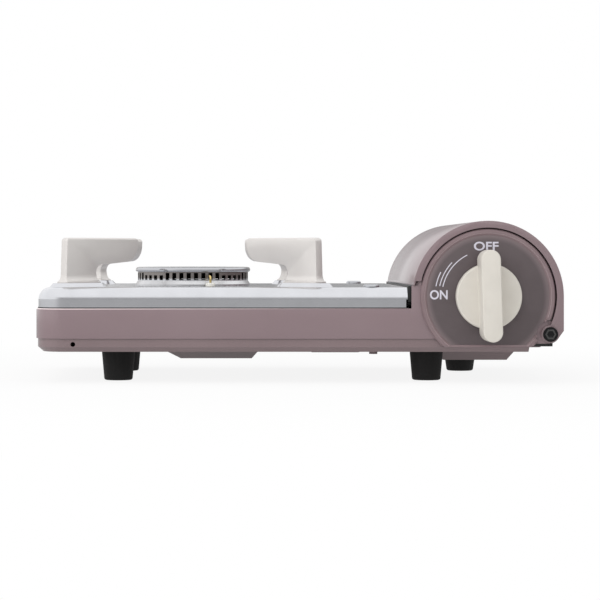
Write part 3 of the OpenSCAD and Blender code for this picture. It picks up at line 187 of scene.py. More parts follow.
def apply(obj, kind, **settings):
    """Adds a modifier with its settings and applies it at once."""
    only(obj)
    modifier = obj.modifiers.new(kind.lower(), kind)
    for key, value in settings.items():
        setattr(modifier, key, value)
    bpy.ops.object.modifier_apply(modifier=modifier.name)


def settle(obj, name, body, finish=None, angle=35):
    """Puts a finished piece at the origin, smooths it and lets it ride on its body."""
    only(obj)
    bpy.ops.object.transform_apply(location=True, rotation=True, scale=True)
    bpy.ops.object.shade_smooth_by_angle(angle=math.radians(angle))
    obj.name = name
    obj.data.name = name
    if finish:
        obj.data.materials.clear()
        obj.data.materials.append(finish)
    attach(obj, body)
    print(name, "has", len(obj.data.polygons), "faces")
    return obj


def copied(obj):
    """A copy of obj with a mesh of its own."""
    copy = obj.copy()
    copy.data = obj.data.copy()
    bpy.context.scene.collection.objects.link(copy)
    return copy


def twin(obj, name, shift):
    """A second piece like obj, moved by shift."""
    copy = copied(obj)
    only(copy)
    bpy.ops.object.mode_set(mode="EDIT")
    bpy.ops.mesh.select_all(action="SELECT")
    bpy.ops.transform.translate(value=shift)
    bpy.ops.object.mode_set(mode="OBJECT")
    copy.name = copy.data.name = name
    print(name, "stands", [round(v / MM, 1) for v in shift], "mm from", obj.name)
    return copy


# %% [markdown]
# A folded or moulded edge is never sharp: it has a small radius that draws a thin line
# of light, and the eye reads size and process from that line. The exact model's edges
# are sharp, so a copy of its mesh is merged, its flat faces are joined, and a bevel as
# wide as the real radius goes on every edge that turns by more than a few degrees.

# %% Soft edges on a copy of a node
SAME_POINT = 0.002 * MM     # points nearer than this are merged
FLAT_TURN = 0.6             # degrees between faces that are joined as one flat face
SHARP_TURN = 28             # degrees between faces whose edge is rounded


def softened(node, radius_mm, segments=2, shape=None, carve=None):
    """Replaces a node with a copy whose edges are rounded. Before that, shape moves
    points of the merged copy, and carve works on it once its flat faces are joined."""
    body = nodes[node]["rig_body"]
    copy = copied(nodes[node])
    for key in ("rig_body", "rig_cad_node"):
        if key in copy:
            del copy[key]
    copy.parent = None
    only(copy)
    bpy.ops.object.mode_set(mode="EDIT")
    bpy.ops.mesh.select_all(action="SELECT")
    bpy.ops.mesh.remove_doubles(threshold=SAME_POINT)
    if shape:
        shape(copy)
        bpy.ops.mesh.select_all(action="SELECT")
    bpy.ops.mesh.dissolve_limited(angle_limit=math.radians(FLAT_TURN))
    bpy.ops.mesh.normals_make_consistent(inside=False)
    if carve:
        carve(copy)
    bpy.ops.object.mode_set(mode="OBJECT")
    bpy.ops.mesh.customdata_custom_splitnormals_clear()
    apply(copy, "BEVEL", width=radius_mm * MM, segments=segments,
          limit_method="ANGLE", angle_limit=math.radians(SHARP_TURN),
          use_clamp_overlap=True, miter_outer="MITER_ARC")
    settle(copy, node + "_soft", body)
    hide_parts(node)
    return copy


# %% [markdown]
# ## Finishes
# A finish is a substance and the way its surface was made. Each one below is named for
# both. Colours are written as sRGB hex, the way a colour card gives them, and one
# function turns them to the linear values that Blender's shaders use. One more adds a
# node with its settings and links, so that each recipe reads from top to bottom.

# %% Colours and nodes
def linear(code):
    """Turns an sRGB hex colour to linear values with full alpha."""
    parts = [int(code[i:i + 2], 16) / 255 for i in (0, 2, 4)]
    return [p / 12.92 if p <= 0.04045 else ((p + 0.055) / 1.055) ** 2.4
            for p in parts] + [1.0]


def add(tree, kind, inputs=(), **settings):
    """Adds a node. Each input is (socket, value or the output it is linked to)."""
    made = tree.nodes.new(kind)
    for key, value in settings.items():
        setattr(made, key, value)
    for socket, value in inputs:
        if isinstance(value, bpy.types.NodeSocket):
            tree.links.new(value, made.inputs[socket])
        else:
            made.inputs[socket].default_value = value
    return made


print("a mid grey, 808080, is", round(linear("808080")[0], 3), "in linear light")

# %% [markdown]
# Every recipe has the same four steps: a shader with its even values, a noise as large
# as the real grain, a colour or roughness that drifts along a noise, and a relief.

# %% Steps of a recipe
NOISE_SPAN = (0.3, 0.7)     # nearly all values of a noise lie between these


def surface(name, colour, metallic=0.0, roughness=0.5, coat=0.0, coat_roughness=0.1, ior=1.5):
    """A material with one Principled shader, whose even values sit on its own sockets."""
    material = bpy.data.materials.new(name)
    material.use_nodes = True
    shader = material.node_tree.nodes["Principled BSDF"]
    shader.inputs["Base Color"].default_value = linear(colour)
    shader.inputs["Metallic"].default_value = metallic
    shader.inputs["Roughness"].default_value = roughness
    shader.inputs["Coat Weight"].default_value = coat
    shader.inputs["Coat Roughness"].default_value = coat_roughness
    if not metallic:
        shader.inputs["IOR"].default_value = ior
    print("finish", name)
    return material, material.node_tree, shader


def grain(tree, size_mm, stretch=(1, 1, 1), detail=3):
    """Noise on object coordinates whose blotches are about size_mm across."""
    place = add(tree, "ShaderNodeTexCoord").outputs["Object"]
    scale = [s / (size_mm * MM) for s in stretch]
    fitted = add(tree, "ShaderNodeVectorMath", [(0, place), (1, scale)], operation="MULTIPLY")
    return add(tree, "ShaderNodeTexNoise", [("Vector", fitted.outputs[0]), ("Scale", 1.0),
                                            ("Detail", detail)]).outputs["Fac"]


def vary(tree, shader, fac, low, high, socket="Base Color"):
    """Spreads a socket between two colours or two numbers along a noise."""
    if socket == "Base Color":
        spread = add(tree, "ShaderNodeValToRGB", [("Fac", fac)])
        for stop, at, colour in zip(spread.color_ramp.elements, NOISE_SPAN, (low, high)):
            stop.position = at
            stop.color = linear(colour)
    else:
        spread = add(tree, "ShaderNodeMapRange", [
            ("Value", fac), ("From Min", NOISE_SPAN[0]), ("From Max", NOISE_SPAN[1]),
            ("To Min", low), ("To Max", high)])
    tree.links.new(spread.outputs[0], shader.inputs[socket])


def relief(tree, shader, height, depth_mm, coat=False):
    """Turns a noise into a bump of about depth_mm."""
    bump = add(tree, "ShaderNodeBump", [("Height", height), ("Strength", 1.0),
                                        ("Distance", depth_mm * MM)])
    tree.links.new(bump.outputs["Normal"], shader.inputs["Normal"])
    if coat:
        tree.links.new(bump.outputs["Normal"], shader.inputs["Coat Normal"])


# %% [markdown]
# **Baked enamel on sheet steel.** The body is sprayed with a mauve powder that melts in
# an oven. It flows almost smooth but keeps a faint orange peel, with waves of about a
# millimetre, and fine mineral flecks. It could be one colour with gloss, but then large
# flat sides look like plastic film. So the colour drifts a little over centimetres, the
# flecks speckle it, and the peel bends the highlights. The same powder covers the pan.
# The shell's rounded rim gets a paler version of the powder's colour, as a painted highlight
# line.

# %% Enamel
FLECK_SHARE = 0.6           # share of the colour's drift that the flecks make


def enamel(name, colour, dark, light, roughness):
    material, tree, shader = surface(name, colour, 0.0, roughness, coat=0.75,
                                     coat_roughness=0.2)
    flecks = grain(tree, 0.5, detail=2)
    clouds = grain(tree, 40, detail=2)
    speckle = add(tree, "ShaderNodeMath", [(0, flecks), (1, FLECK_SHARE)],
                  operation="MULTIPLY")
    drift = add(tree, "ShaderNodeMath", [(0, clouds), (1, 1 - FLECK_SHARE),
                (2, speckle.outputs[0])], operation="MULTIPLY_ADD")
    vary(tree, shader, drift.outputs[0], dark, light)
    vary(tree, shader, clouds, roughness - 0.04, roughness + 0.05, "Roughness")
    relief(tree, shader, grain(tree, 1.1, detail=1), 0.012, coat=True)
    return material


mauve_enamel = enamel("baked_enamel_mauve", "877377", "836F73", "8B777B", 0.4)
rim_highlight_enamel = enamel("baked_enamel_mauve_painted_rim_highlight", "E2D0D1", "DECCCD", "E6D4D5", 0.36)
pan_enamel = enamel("baked_enamel_mauve_underside", "806D70", "7B696B", "857274", 0.44)

# %% [markdown]
# **Satin stainless steel.** The top plate is pressed from sheet with a fine silver
# satin, made by blasting and a clear silicone finish. Its microscopic pits blur what it
# mirrors evenly, so it shows broad soft bands and no streaks. Pits of a twentieth of a
# millimetre can't show, so they are drawn at three tenths. Metal keeps its own IOR, and
# all of its look comes from colour, roughness and relief. The other metals differ in
# how they were made: rolled and drawn ones have a grain that is stretched along the
# stroke, turned ones across it, and cast ones a deeper, coarser skin.

# %% Steel and other metals
def metal(name, colour, roughness, size_mm, stretch=(1, 1, 1), depth_mm=0.004, swing=0.05,
          tint=None):
    material, tree, shader = surface(name, colour, 1.0, roughness)
    pits = grain(tree, size_mm, stretch)
    vary(tree, shader, pits, roughness - swing, roughness + swing, "Roughness")
    if tint:
        vary(tree, shader, grain(tree, 12), tint[0], tint[1])
    relief(tree, shader, pits, depth_mm)
    return material


satin_steel = metal("stainless_steel_satin", "D0D1D5", 0.2, 0.3, depth_mm=0.0012,
                    swing=0.03, tint=("CDCED2", "D3D4D8"))
zinc_sheet = metal("zinc_plated_sheet_rolled", "A9ADB3", 0.42, 0.5, (1, 6, 6),
                   tint=("A3A7AE", "AFB2B7"))
screw_steel = metal("zinc_plated_steel_headed", "B9BBBF", 0.28, 0.4)
tube_steel = metal("steel_tube_drawn", "B4B5B4", 0.3, 0.4, (0.2, 0.2, 1))
brass_turned = metal("brass_turned", "C9A55C", 0.25, 0.3, (6, 1, 1))
aluminium_rolled = metal("aluminium_sheet_rolled", "C8CACC", 0.4, 0.4, (0.15, 4, 4))
die_cast = metal("zinc_alloy_die_cast", "A2A3A6", 0.5, 0.8, depth_mm=0.02,
                 tint=("9A9B9F", "AAABAD"))
burner_cast = metal("aluminium_die_cast", "CBCBCD", 0.3, 0.7, depth_mm=0.02,
                    tint=("C2C2C4", "D4D4D6"))
pin_highlight_steel = metal("steel_blackened_painted_highlight", "5C5B5B", 0.45, 0.4, depth_mm=0.006)
black_steel = metal("steel_blackened", "303031", 0.3, 0.4, depth_mm=0.006)
near_black_cap_steel = metal("steel_near_black_dull", "171513", 0.62, 0.6, depth_mm=0.01)
tinted_wire = metal("heat_tinted_alloy_wire", "D8C48A", 0.34, 0.3, tint=("CDB474", "E0CE9A"))

# %% [markdown]
# **Drawn burner ring.** The ring is drawn from sheet in one stroke. Its slotted wall is
# dulled by the flames, while its flange below stays bright. So its colour depends on the
# height over the flange: a short, soft step at the foot of the slots.

# %% Burner ring
FLANGE_TONE, WALL_TONE = "D2D3D6", "8F8A87"
FLANGE_TOP, WALL_FOOT = burner.z - 0.3 * MM, burner.z + 0.4 * MM
ring_steel = metal("stainless_steel_drawn_ring", WALL_TONE, 0.34, 0.25, (1, 1, 8))
tree = ring_steel.node_tree
place = add(tree, "ShaderNodeTexCoord").outputs["Object"]
height = add(tree, "ShaderNodeSeparateXYZ", [("Vector", place)]).outputs["Z"]
above = add(tree, "ShaderNodeMapRange", [("Value", height), ("From Min", FLANGE_TOP),
            ("From Max", WALL_FOOT)], interpolation_type="SMOOTHSTEP")
dulled = add(tree, "ShaderNodeMix", [("Factor", above.outputs["Result"]),
             (6, linear(FLANGE_TONE)), (7, linear(WALL_TONE))], data_type="RGBA")
tree.links.new(dulled.outputs[2], tree.nodes["Principled BSDF"].inputs["Base Color"])
print("flange ends at", round(burner.z / MM, 1), "mm")

# %% [markdown]
# **Turned and polished cap.** The burner's cap spins against a tool as it is polished,
# which leaves circles round its middle. The distance from the burner's axis, in steps of
# half a millimetre, gives rings that a stretched noise on straight axes can't. Height
# counts for a fifth, so that the rings run on down the cap's rim.

# %% Polished cap
RING_STEP = 0.5 * MM
HEIGHT_SHARE = 0.2


def turned_cap(name, colour, roughness):
    material, tree, shader = surface(name, colour, 1.0, roughness)
    place = add(tree, "ShaderNodeTexCoord").outputs["Object"]
    offset = add(tree, "ShaderNodeVectorMath", [(0, place), (1, burner)],
                 operation="SUBTRACT")
    level = add(tree, "ShaderNodeVectorMath", [(0, offset.outputs[0]),
                (1, (1, 1, HEIGHT_SHARE))], operation="MULTIPLY")
    distance = add(tree, "ShaderNodeVectorMath", [(0, level.outputs[0])], operation="LENGTH")
    rings = add(tree, "ShaderNodeMath", [(0, distance.outputs["Value"]), (1, 1 / RING_STEP)],
                operation="MULTIPLY")
    noise = add(tree, "ShaderNodeTexNoise", [("W", rings.outputs[0]), ("Scale", 1.0),
                ("Detail", 2.0)], noise_dimensions="1D").outputs["Fac"]
    vary(tree, shader, noise, roughness - 0.06, roughness + 0.08, "Roughness")
    relief(tree, shader, noise, 0.003)
    return material


polished_cap = turned_cap("stainless_steel_turned_polished", "B9BABE", 0.16)

# %% [markdown]
# **Painted cast supports.** The four pan supports are castings under a thin light paint
# with a slight sheen. Under it the sand-like casting grain still shows as low waves of
# half a millimetre, and the paint is a touch warmer where it is thicker. The paint holds
# metal flakes, so it stands between a metal and a dielectric.

# %% Supports
def cast_paint(name, colour, dark, light):
    material, tree, shader = surface(name, colour, 0.42, 0.38)
    skin = grain(tree, 0.6)
    vary(tree, shader, grain(tree, 14), dark, light)
    vary(tree, shader, skin, 0.32, 0.4, "Roughness")
    relief(tree, shader, skin, 0.012)
    return material


support_paint = cast_paint("cast_metal_light_paint", "D9D5D2", "D7D3D0", "DBD7D4")

# %% [markdown]
# **Moulded plastics.** The knob is a warm white, heat-proof plastic, the panel round it
# a mauve one and the dial face a dark one. Their moulds are spark-eroded, which leaves a
# fine, even grain of about a third of a millimetre that makes the gloss soft. Rubber has
# a coarser and duller skin, and the porcelain of the spark electrode a smooth glaze.

# %% Plastics, rubber and ceramic
def moulded(name, colour, dark, light, roughness, size_mm=0.35, depth_mm=0.012, ior=1.5):
    material, tree, shader = surface(name, colour, 0.0, roughness, ior=ior)
    spark = grain(tree, size_mm, detail=2)
    vary(tree, shader, grain(tree, 9), dark, light)
    vary(tree, shader, spark, roughness - 0.04, roughness + 0.06, "Roughness")
    relief(tree, shader, spark, depth_mm)
    return material


knob_plastic = moulded("phenolic_moulded_warm_white", "DAD5CC", "D7D2C9", "DDD8CF", 0.42)
panel_plastic = moulded("abs_moulded_mauve", "857275", "837073", "887578", 0.32)
# A paler mauve serves as a painted highlight line on the panel's crest.
panel_highlight_plastic = moulded("abs_moulded_mauve_painted_highlight", "CDBCBD", "C9B8B9", "D1C0C1", 0.3)
dial_plastic = moulded("abs_moulded_dark_mauve", "5B5153", "594F51", "5D5355", 0.5)
black_plastic = moulded("nylon_moulded_black", "1A1A1B", "181819", "1D1D1E", 0.45)
acetal = moulded("acetal_moulded_natural", "DEDAD0", "DAD6CC", "E2DED4", 0.35)
rubber = moulded("rubber_moulded_black", "0C0B0B", "0A0A09", "0E0D0D", 0.66, 0.6, 0.03)
# The same black silicone sleeves the ignition lead and paints shade in two strips.
black_silicone_and_shade = moulded("silicone_black_sleeve_and_painted_shade", "141414", "121212", "161616", 0.55)
ferrite = moulded("ferrite_sintered", "2B2A2B", "262526", "302F30", 0.6, 0.5, 0.02)
ceramic = moulded("porcelain_glazed", "ECEAE2", "E8E6DE", "F0EEE6", 0.18, 1.2, 0.01, 1.52)
ink = moulded("pad_printed_ink_pale_lilac", "D6D3DE", "D2CFDA", "DAD7E2", 0.5, 0.3, 0.004)

# %% [markdown]
# ** Edge of the dial.** The dial's face grows lighter near its rim. The distance from the
# knob's axis blends its dark tone into a lighter one.

# %% Fading edge
FADE_START, FADE_END = 29.6, 33.4
FADED_TONE = "7A6C6E"
tree = dial_plastic.node_tree
base_colour = tree.nodes["Principled BSDF"].inputs["Base Color"]
dark_tone = base_colour.links[0].from_socket
place = add(tree, "ShaderNodeTexCoord").outputs["Object"]
offset = add(tree, "ShaderNodeVectorMath", [(0, place), (1, (knob_x, 0, knob_z))],
             operation="SUBTRACT")
flat = add(tree, "ShaderNodeVectorMath", [(0, offset.outputs[0]), (1, (1, 0, 1))],
           operation="MULTIPLY")
radius = add(tree, "ShaderNodeVectorMath", [(0, flat.outputs[0])], operation="LENGTH")
edge = add(tree, "ShaderNodeMapRange", [("Value", radius.outputs["Value"]),
           ("From Min", FADE_START * MM), ("From Max", FADE_END * MM)],
           interpolation_type="SMOOTHSTEP")
faded = add(tree, "ShaderNodeMix", [("Factor", edge.outputs["Result"]), (6, dark_tone),
            (7, linear(FADED_TONE))], data_type="RGBA")
tree.links.new(faded.outputs[2], base_colour)
print("dial fades from", FADE_START, "to", FADE_END, "mm")

# %% [markdown]
# ## Finishes on the nodes
# The record names a slot for each piece, and each slot gets one of the finishes. One
# finish may serve several slots.

# %% Assign the finishes
finishes = {
    "body_enamel": mauve_enamel, "pan_enamel": pan_enamel, "zinc_sheet": zinc_sheet,
    "plate_steel": satin_steel, "screw_steel": screw_steel, "cap_steel": polished_cap,
    "ring_steel": ring_steel, "burner_cast": burner_cast, "brass": brass_turned,
    "pipe_steel": tube_steel, "ceramic": ceramic, "lead_sleeve": black_silicone_and_shade,
    "black_plastic": black_plastic, "light_plastic": acetal, "die_cast": die_cast,
    "magnet": ferrite, "knob_plastic": knob_plastic, "panel_plastic": panel_plastic,
    "dial_plastic": dial_plastic, "black_screw": black_steel,
    "electrode_wire": tinted_wire, "aluminium": aluminium_rolled,
    "support_cast": support_paint, "foot_rubber": rubber}
for part in frame["record"]["subparts"]:
    nodes[part["node"]].material_slots[0].material = finishes[part["material_slot"]]

# %% [markdown]
# ## Pieces with soft edges
# The pressed sheet of the shell and cover bends round about a millimetre, and the feet
# and cap are rounded by their tools. Where the cover's rim ends above the shell's step,
# the sheet is drawn down so far that only a hair of shadow stays between them.

# %% Canister cover
RIM_END_DROPS = ((55.8, 0.42), (53.3, 0.14))    # height of a level face, and its drop


def lower_rim_end(cover):
    for height, drop in RIM_END_DROPS:
        pick_faces(cover, lambda c, n: n.z < -FACING and abs(c.z - height * MM) < 0.1 * MM
                   and c.x < knob_x)
        bpy.ops.transform.translate(value=(0, 0, -drop * MM))


softened("canister_cover", 0.35, shape=lower_rim_end)

# %% [markdown]
# The shell's upper rim is folded in beside the black strip that paints the shadow line at
# the top plate's skirt. Its outer edge is rounder than the others, and the pale line of light
# that it shows along the front and the left side is painted on. So the edges there are picked
# by their height and by the one wall that they bound, and their bevel gets a paler enamel as
# a painted highlight.

# %% Rim of the shell
RIM_Z = 40.6 * MM           # height of the rim
STEP_X = 62 * MM            # where the shell steps up beside the canister's bay
shell_low, shell_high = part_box("body_shell")
inside = Vector((shell_low.x + 75 * MM, (shell_low.y + shell_high.y) / 2, 0))


def on_rim(point):
    return abs(point.z - RIM_Z) < 0.05 * MM and point.x < STEP_X


def outermost(edge):
    """Tells whether an edge bounds the outer side of the rim."""
    a, b = edge.verts[0].co, edge.verts[1].co
    walls = [f for f in edge.link_faces if abs(f.normal.z) < 0.3]
    out = (a + b) / 2 - inside
    return bool(on_rim(a) and on_rim(b) and len(walls) == 1
                and walls[0].normal.dot(Vector((out.x, out.y, 0))) > 0)


def round_the_rim(shell):
    mesh = start_picking(shell, "EDGE")
    for edge in mesh.edges:
        edge.select_set(outermost(edge))
    bmesh.update_edit_mesh(shell.data)
    print("rim edges", sum(edge.select for edge in mesh.edges))
    bpy.ops.mesh.bevel(offset=0.58 * MM, segments=4, affect="EDGES", clamp_overlap=True)


def refinish(obj, wanted, finish):
    """Gives the faces that are wanted a second finish."""
    only(obj)
    obj.data.materials.append(finish)
    bpy.ops.object.mode_set(mode="EDIT")
    pick_faces(obj, wanted)
    obj.active_material_index = len(obj.data.materials) - 1
    bpy.ops.object.material_slot_assign()
    bpy.ops.object.mode_set(mode="OBJECT")


shell = softened("body_shell", 0.34, 3, carve=round_the_rim)
# The rim's bevel gets the paler enamel: a painted highlight line.
refinish(shell, lambda c, n: 0.1 < n.z < 0.99
         and RIM_Z - 0.7 * MM < c.z < RIM_Z + 0.1 * MM, rim_highlight_enamel)

# %% [markdown]
# Inside the burner's cap, and on its underside, the steel is given a near-black, dull
# finish. The head of the hinge's pin has a groove, a ring in a paler steel that paints a
# highlight, and a deep socket. Each of them is one inset and one extrusion of the face
# before it.

# %% Cap, hinge pin and feet
DARK_TOP, DARK_R = 4.9 * MM, 27.6 * MM          # over the cap's foot, and from its axis
HEAD_STEPS = ((1.0, 0.35), (0.5, -0.3), (0.9, 1.2))     # inset, then depth
HIGHLIGHT_RING = (1.25 * MM, 2.3 * MM)               # its inner and outer radius

cap = softened("burner_cap", 0.3, 3)
# The cap's underside and inside get a near-black, dull steel.
refinish(cap, lambda c, n: c.z < burner.z + DARK_TOP
         and math.hypot(c.x - burner.x, c.y - burner.y) < DARK_R, near_black_cap_steel)


def sink_the_head(pin):
    pick_faces(pin, lambda c, n: n.y < -FACING and c.y < hinge.y + 0.1 * MM)
    for inset, depth in HEAD_STEPS:
        bpy.ops.mesh.inset(thickness=inset * MM)
        draw_out(y=depth * MM)


pin = softened("hinge_pin_front", 0.12, 2, carve=sink_the_head)
# A ring of the pin's head gets a paler steel, as a painted highlight.
refinish(pin, lambda c, n: HIGHLIGHT_RING[0] < math.hypot(c.x - hinge.x, c.z - hinge.z)
         < HIGHLIGHT_RING[1] and c.y < hinge.y + 0.3 * MM, pin_highlight_steel)
for corner in ("front_left", "front_right", "rear_left", "rear_right"):
    softened("foot_" + corner, 0.5, 3)

# %% [markdown]
# Each support is cast with a nose that thins towards the flame. The edges round the nose
# are picked by how near they lie to the burner's axis, and get a bevel of their own that
# is much wider than the one on the rest.

# %% Pan supports
SUPPORT_HALF = 2.5 * MM     # half the thickness of a support
NOSE_END = 54 * MM          # distance from the burner's axis at which the nose ends


def round_the_nose(support):
    low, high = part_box(support.name.split(".")[0])
    middle = (low + high) / 2 - burner
    along = Vector((middle.x, middle.y, 0)).normalized()
    across = Vector((-along.y, along.x, 0))

    def on_nose(point):
        return (abs(abs((point - burner).dot(across)) - SUPPORT_HALF) < CLOSE
                and (point - burner).dot(along) < NOSE_END)

    pick_edges(support, lambda a, b: on_nose(a) and on_nose(b)
               and (a - burner).dot(across) * (b - burner).dot(across) > 0)
    bpy.ops.mesh.bevel(offset=1.5 * MM, segments=4, affect="EDGES", clamp_overlap=True)


for corner in ("front_left", "front_right", "rear_left", "rear_right"):
    softened("pan_support_" + corner, 0.45, carve=round_the_nose)

# %% [markdown]
# The control panel is a shallow dish. Its lip slopes down to the dial, so that it is dark
# on the side of the key lamp and bright on the other, and its rim stands close to the
# cover. Both come from pulling rings of points in or out round the dial's axis, from one
# radius to another.

# %% Rings of points round the dial's axis
panel_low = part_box("control_panel")[0]
MIDDLE_R = 15               # the hole for the knob's spindle lies within this radius
OUTLINE_R, CREST_R, LIP_R = 35.9, 34.7, 32.5    # the panel's rings, from the rim inwards
DIAL_R = 32.4


def reach(point):
    """Distance from the knob's axis, in millimetres."""
    return math.hypot(point.x - knob_x, point.z - knob_z) / MM


def on_face(point):
    return abs(point.y - panel_low.y) < CLOSE


def over_foot(point, height=0.1):
    """Tells whether a point is more than a height, in millimetres, over the flat foot."""
    return point.z > panel_low.z + height * MM


def pull(radius, wanted):
    factor = wanted / radius
    bpy.ops.transform.resize(value=(factor, 1, factor),
                             center_override=(knob_x, panel_low.y, knob_z))


# %% [markdown]
# The lip is the wall that looks at the axis, and only its front ring is pulled. Its
# points are found from the wall's faces, since other points have the same radius.

# %% Control panel
def pick_lip(panel):
    pick_faces(panel, lambda c, n: abs(n.y) < 0.1 and c.y < panel_low.y + 1 * MM
               and reach(c) > MIDDLE_R
               and n.x * (c.x - knob_x) + n.z * (c.z - knob_z) < 0)
    mesh = bmesh.from_edit_mesh(panel.data)
    lip = {p.index for f in mesh.faces if f.select for p in f.verts}
    mesh = start_picking(panel, "VERT")
    for point in mesh.verts:
        point.select_set(point.index in lip and on_face(point.co)
                         and reach(point.co) < LIP_R + 0.1)
    mesh.select_flush(True)
    bmesh.update_edit_mesh(panel.data)
    print("points of the lip", sum(point.select for point in mesh.verts))


def dish(panel):
    pick_points(panel, lambda p: reach(p) > OUTLINE_R - 0.15 and over_foot(p))
    pull(OUTLINE_R, 36.5)
    pick_points(panel, lambda p: on_face(p) and abs(reach(p) - CREST_R) < 0.1
                and over_foot(p))
    pull(CREST_R, 35.75)
    pick_lip(panel)
    pull(LIP_R, 34.2)
    pick_points(panel, lambda p: on_face(p) and reach(p) < LIP_R + 0.5 and over_foot(p)
                and not over_foot(p, 0.8))
    bpy.ops.transform.translate(value=(0, 0, -0.25 * MM))


panel = softened("control_panel", 0.3, 3, shape=dish)
# The crest round the lip is given the paler mauve: a painted highlight line.
refinish(panel, lambda c, n: -0.97 < n.y < -0.2 and c.y < panel_low.y + 0.4 * MM
         and 33.6 < reach(c) < 34.9, panel_highlight_plastic)

# %% [markdown]
# The dial is pulled wider in the same way, so that it meets the lip, and its flat foot
# is lowered.

# %% Dial
def widen(dial):
    pick_points(dial, lambda p: reach(p) > MIDDLE_R)
    pull(DIAL_R, 33.1)
    pick_points(dial, lambda p: p.z < dial_low.z + 0.1 * MM)
    bpy.ops.transform.translate(value=(0, 0, -0.65 * MM))


softened("dial_plate", 0.15, shape=widen)

# %% [markdown]
# ## Knob
# The knob is one moulding: a thin disc with a rounded rim, and a grip bar across it with
# round ends and sides that draw in towards the face, so that it leaves its mould. Its
# back is hollow, because thick plastic sinks as it cools. It could be revolved and cut,
# but a cylinder and a cube that are each shaped in edit mode and then joined follow how
# the tool was cut.

# %% Disc of the knob
disc_r = (knob_high.x - knob_low.x) / 2 - 0.4 * MM
disc_t = 5.2 * MM
front_of_disc = knob_high.y - disc_t
HUB_R = 8 * MM
# From the rim inwards: the inset and the move of the rim's ring, the hub and its bore
BACK_STEPS = ((2.2 * MM, -2.8 * MM), (disc_r - HUB_R, 2.8 * MM), (2.6 * MM, -4.5 * MM))

disc = begin(bpy.ops.mesh.primitive_cylinder_add, vertices=128, radius=disc_r, depth=disc_t,
             location=(knob_x, knob_high.y - disc_t / 2, knob_z),
             rotation=(math.radians(90), 0, 0))
pick_edges(disc, lambda a, b: abs(a.y - front_of_disc) < TOUCH
           and abs(b.y - front_of_disc) < TOUCH)
bpy.ops.mesh.bevel(offset=1.1 * MM, segments=5, affect="EDGES")
pick_faces(disc, lambda c, n: n.y > FACING)
for inset, move in BACK_STEPS:
    bpy.ops.mesh.inset(thickness=inset)
    draw_out(y=move)
bpy.ops.object.mode_set(mode="OBJECT")
print("disc of", round(disc_r / MM, 1), "mm radius")

# %% [markdown]
# The bar's four upright edges get a bevel of nearly half its width, which makes its ends
# round. Then its face is drawn in, its edges are softened, and it is turned by less than
# two degrees, as the photograph shows it.

# %% Grip bar
grip_w, grip_face_w = 11.0 * MM, 10.4 * MM
grip_len = knob_high.z - knob_low.z - 0.3 * MM
grip_low_y = front_of_disc + 1.2 * MM
GRIP_TURN = 1.8
grip = begin(bpy.ops.mesh.primitive_cube_add, size=1,
             location=(knob_x - 0.4 * MM, (knob_low.y + grip_low_y) / 2, knob_z + 0.5 * MM),
             scale=(grip_w, grip_low_y - knob_low.y, grip_len))
pick_edges(grip, lambda a, b: abs(a.y - b.y) > 1 * MM)
bpy.ops.mesh.bevel(offset=grip_w / 2 - 0.05 * MM, segments=14, affect="EDGES")
pick_faces(grip, lambda c, n: n.y < -FACING)
bpy.ops.transform.resize(value=(grip_face_w / grip_w, 1, 1),
                         center_override=(knob_x, knob_low.y, knob_z))
bpy.ops.object.mode_set(mode="OBJECT")
apply(grip, "BEVEL", width=0.6 * MM, segments=4, limit_method="ANGLE",
      angle_limit=math.radians(50), use_clamp_overlap=True)
bpy.ops.object.mode_set(mode="EDIT")
bpy.ops.mesh.select_all(action="SELECT")
bpy.ops.transform.rotate(value=math.radians(GRIP_TURN), orient_axis="Y",
                         center_override=(knob_x, knob_low.y, knob_z))
bpy.ops.object.mode_set(mode="OBJECT")
print("grip bar", round(grip_len / MM, 1), "mm long")

# %% [markdown]
# The two are joined by a union. The small fillet where the bar grows out of the disc is
# a second bevel on the edge that the union leaves, and it draws the soft line that the
# eye takes for moulded plastic.

# %% Knob in one piece
apply(disc, "BOOLEAN", operation="UNION", object=grip, solver="EXACT")
bpy.data.objects.remove(grip)
apply(disc, "BEVEL", width=0.35 * MM, segments=2, limit_method="ANGLE",
      angle_limit=math.radians(55), use_clamp_overlap=True)
knob = settle(disc, "knob_moulding", "knob", knob_plastic, 40)
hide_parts("control_knob")

# %% [markdown]
# ## Lettering of the dial
# The words and the three arcs are pad printed: a soft pad lays a film of pale ink on the
# dark face. A film can't be seen from its side, so each sign is a flat mesh that lies a
# few hundredths of a millimetre proud. Text starts as a text object, becomes a mesh and
# is then drawn to its measured width and height.

# %% ON and OFF
INK = 0.04 * MM             # thickness of the film
TEXT_HALF = 0.01            # half the thickness of a letter before it is drawn to size
BOLDER = 0.022              # how far a letter's outline is moved out, before the same
INK_ANGLE = 20              # degrees between two faces of a sign that look like an edge


def printed_word(word, left, right, low, high):
    bpy.ops.object.select_all(action="DESELECT")
    bpy.ops.object.text_add(location=(0, 0, 0))
    text = bpy.context.active_object
    text.data.body = word
    text.data.extrude = TEXT_HALF
    text.data.offset = BOLDER
    bpy.ops.object.convert(target="MESH")
    sign = bpy.context.active_object
    xs = [v.co.x for v in sign.data.vertices]
    ys = [v.co.y for v in sign.data.vertices]
    bpy.ops.object.mode_set(mode="EDIT")
    bpy.ops.mesh.select_all(action="SELECT")
    bpy.ops.mesh.remove_doubles(threshold=1e-5)
    bpy.ops.transform.translate(value=(-min(xs), -min(ys), 0))
    bpy.ops.transform.resize(value=((right - left) * MM / (max(xs) - min(xs)),
                                    (high - low) * MM / (max(ys) - min(ys)),
                                    INK / (2 * TEXT_HALF)),
                             center_override=(0, 0, 0))
    bpy.ops.object.mode_set(mode="OBJECT")
    sign.rotation_euler = (math.radians(90), 0, 0)
    sign.location = (left * MM, dial_low.y - INK / 2, low * MM)
    settle(sign, "word_" + word.lower(), "base", ink, INK_ANGLE)


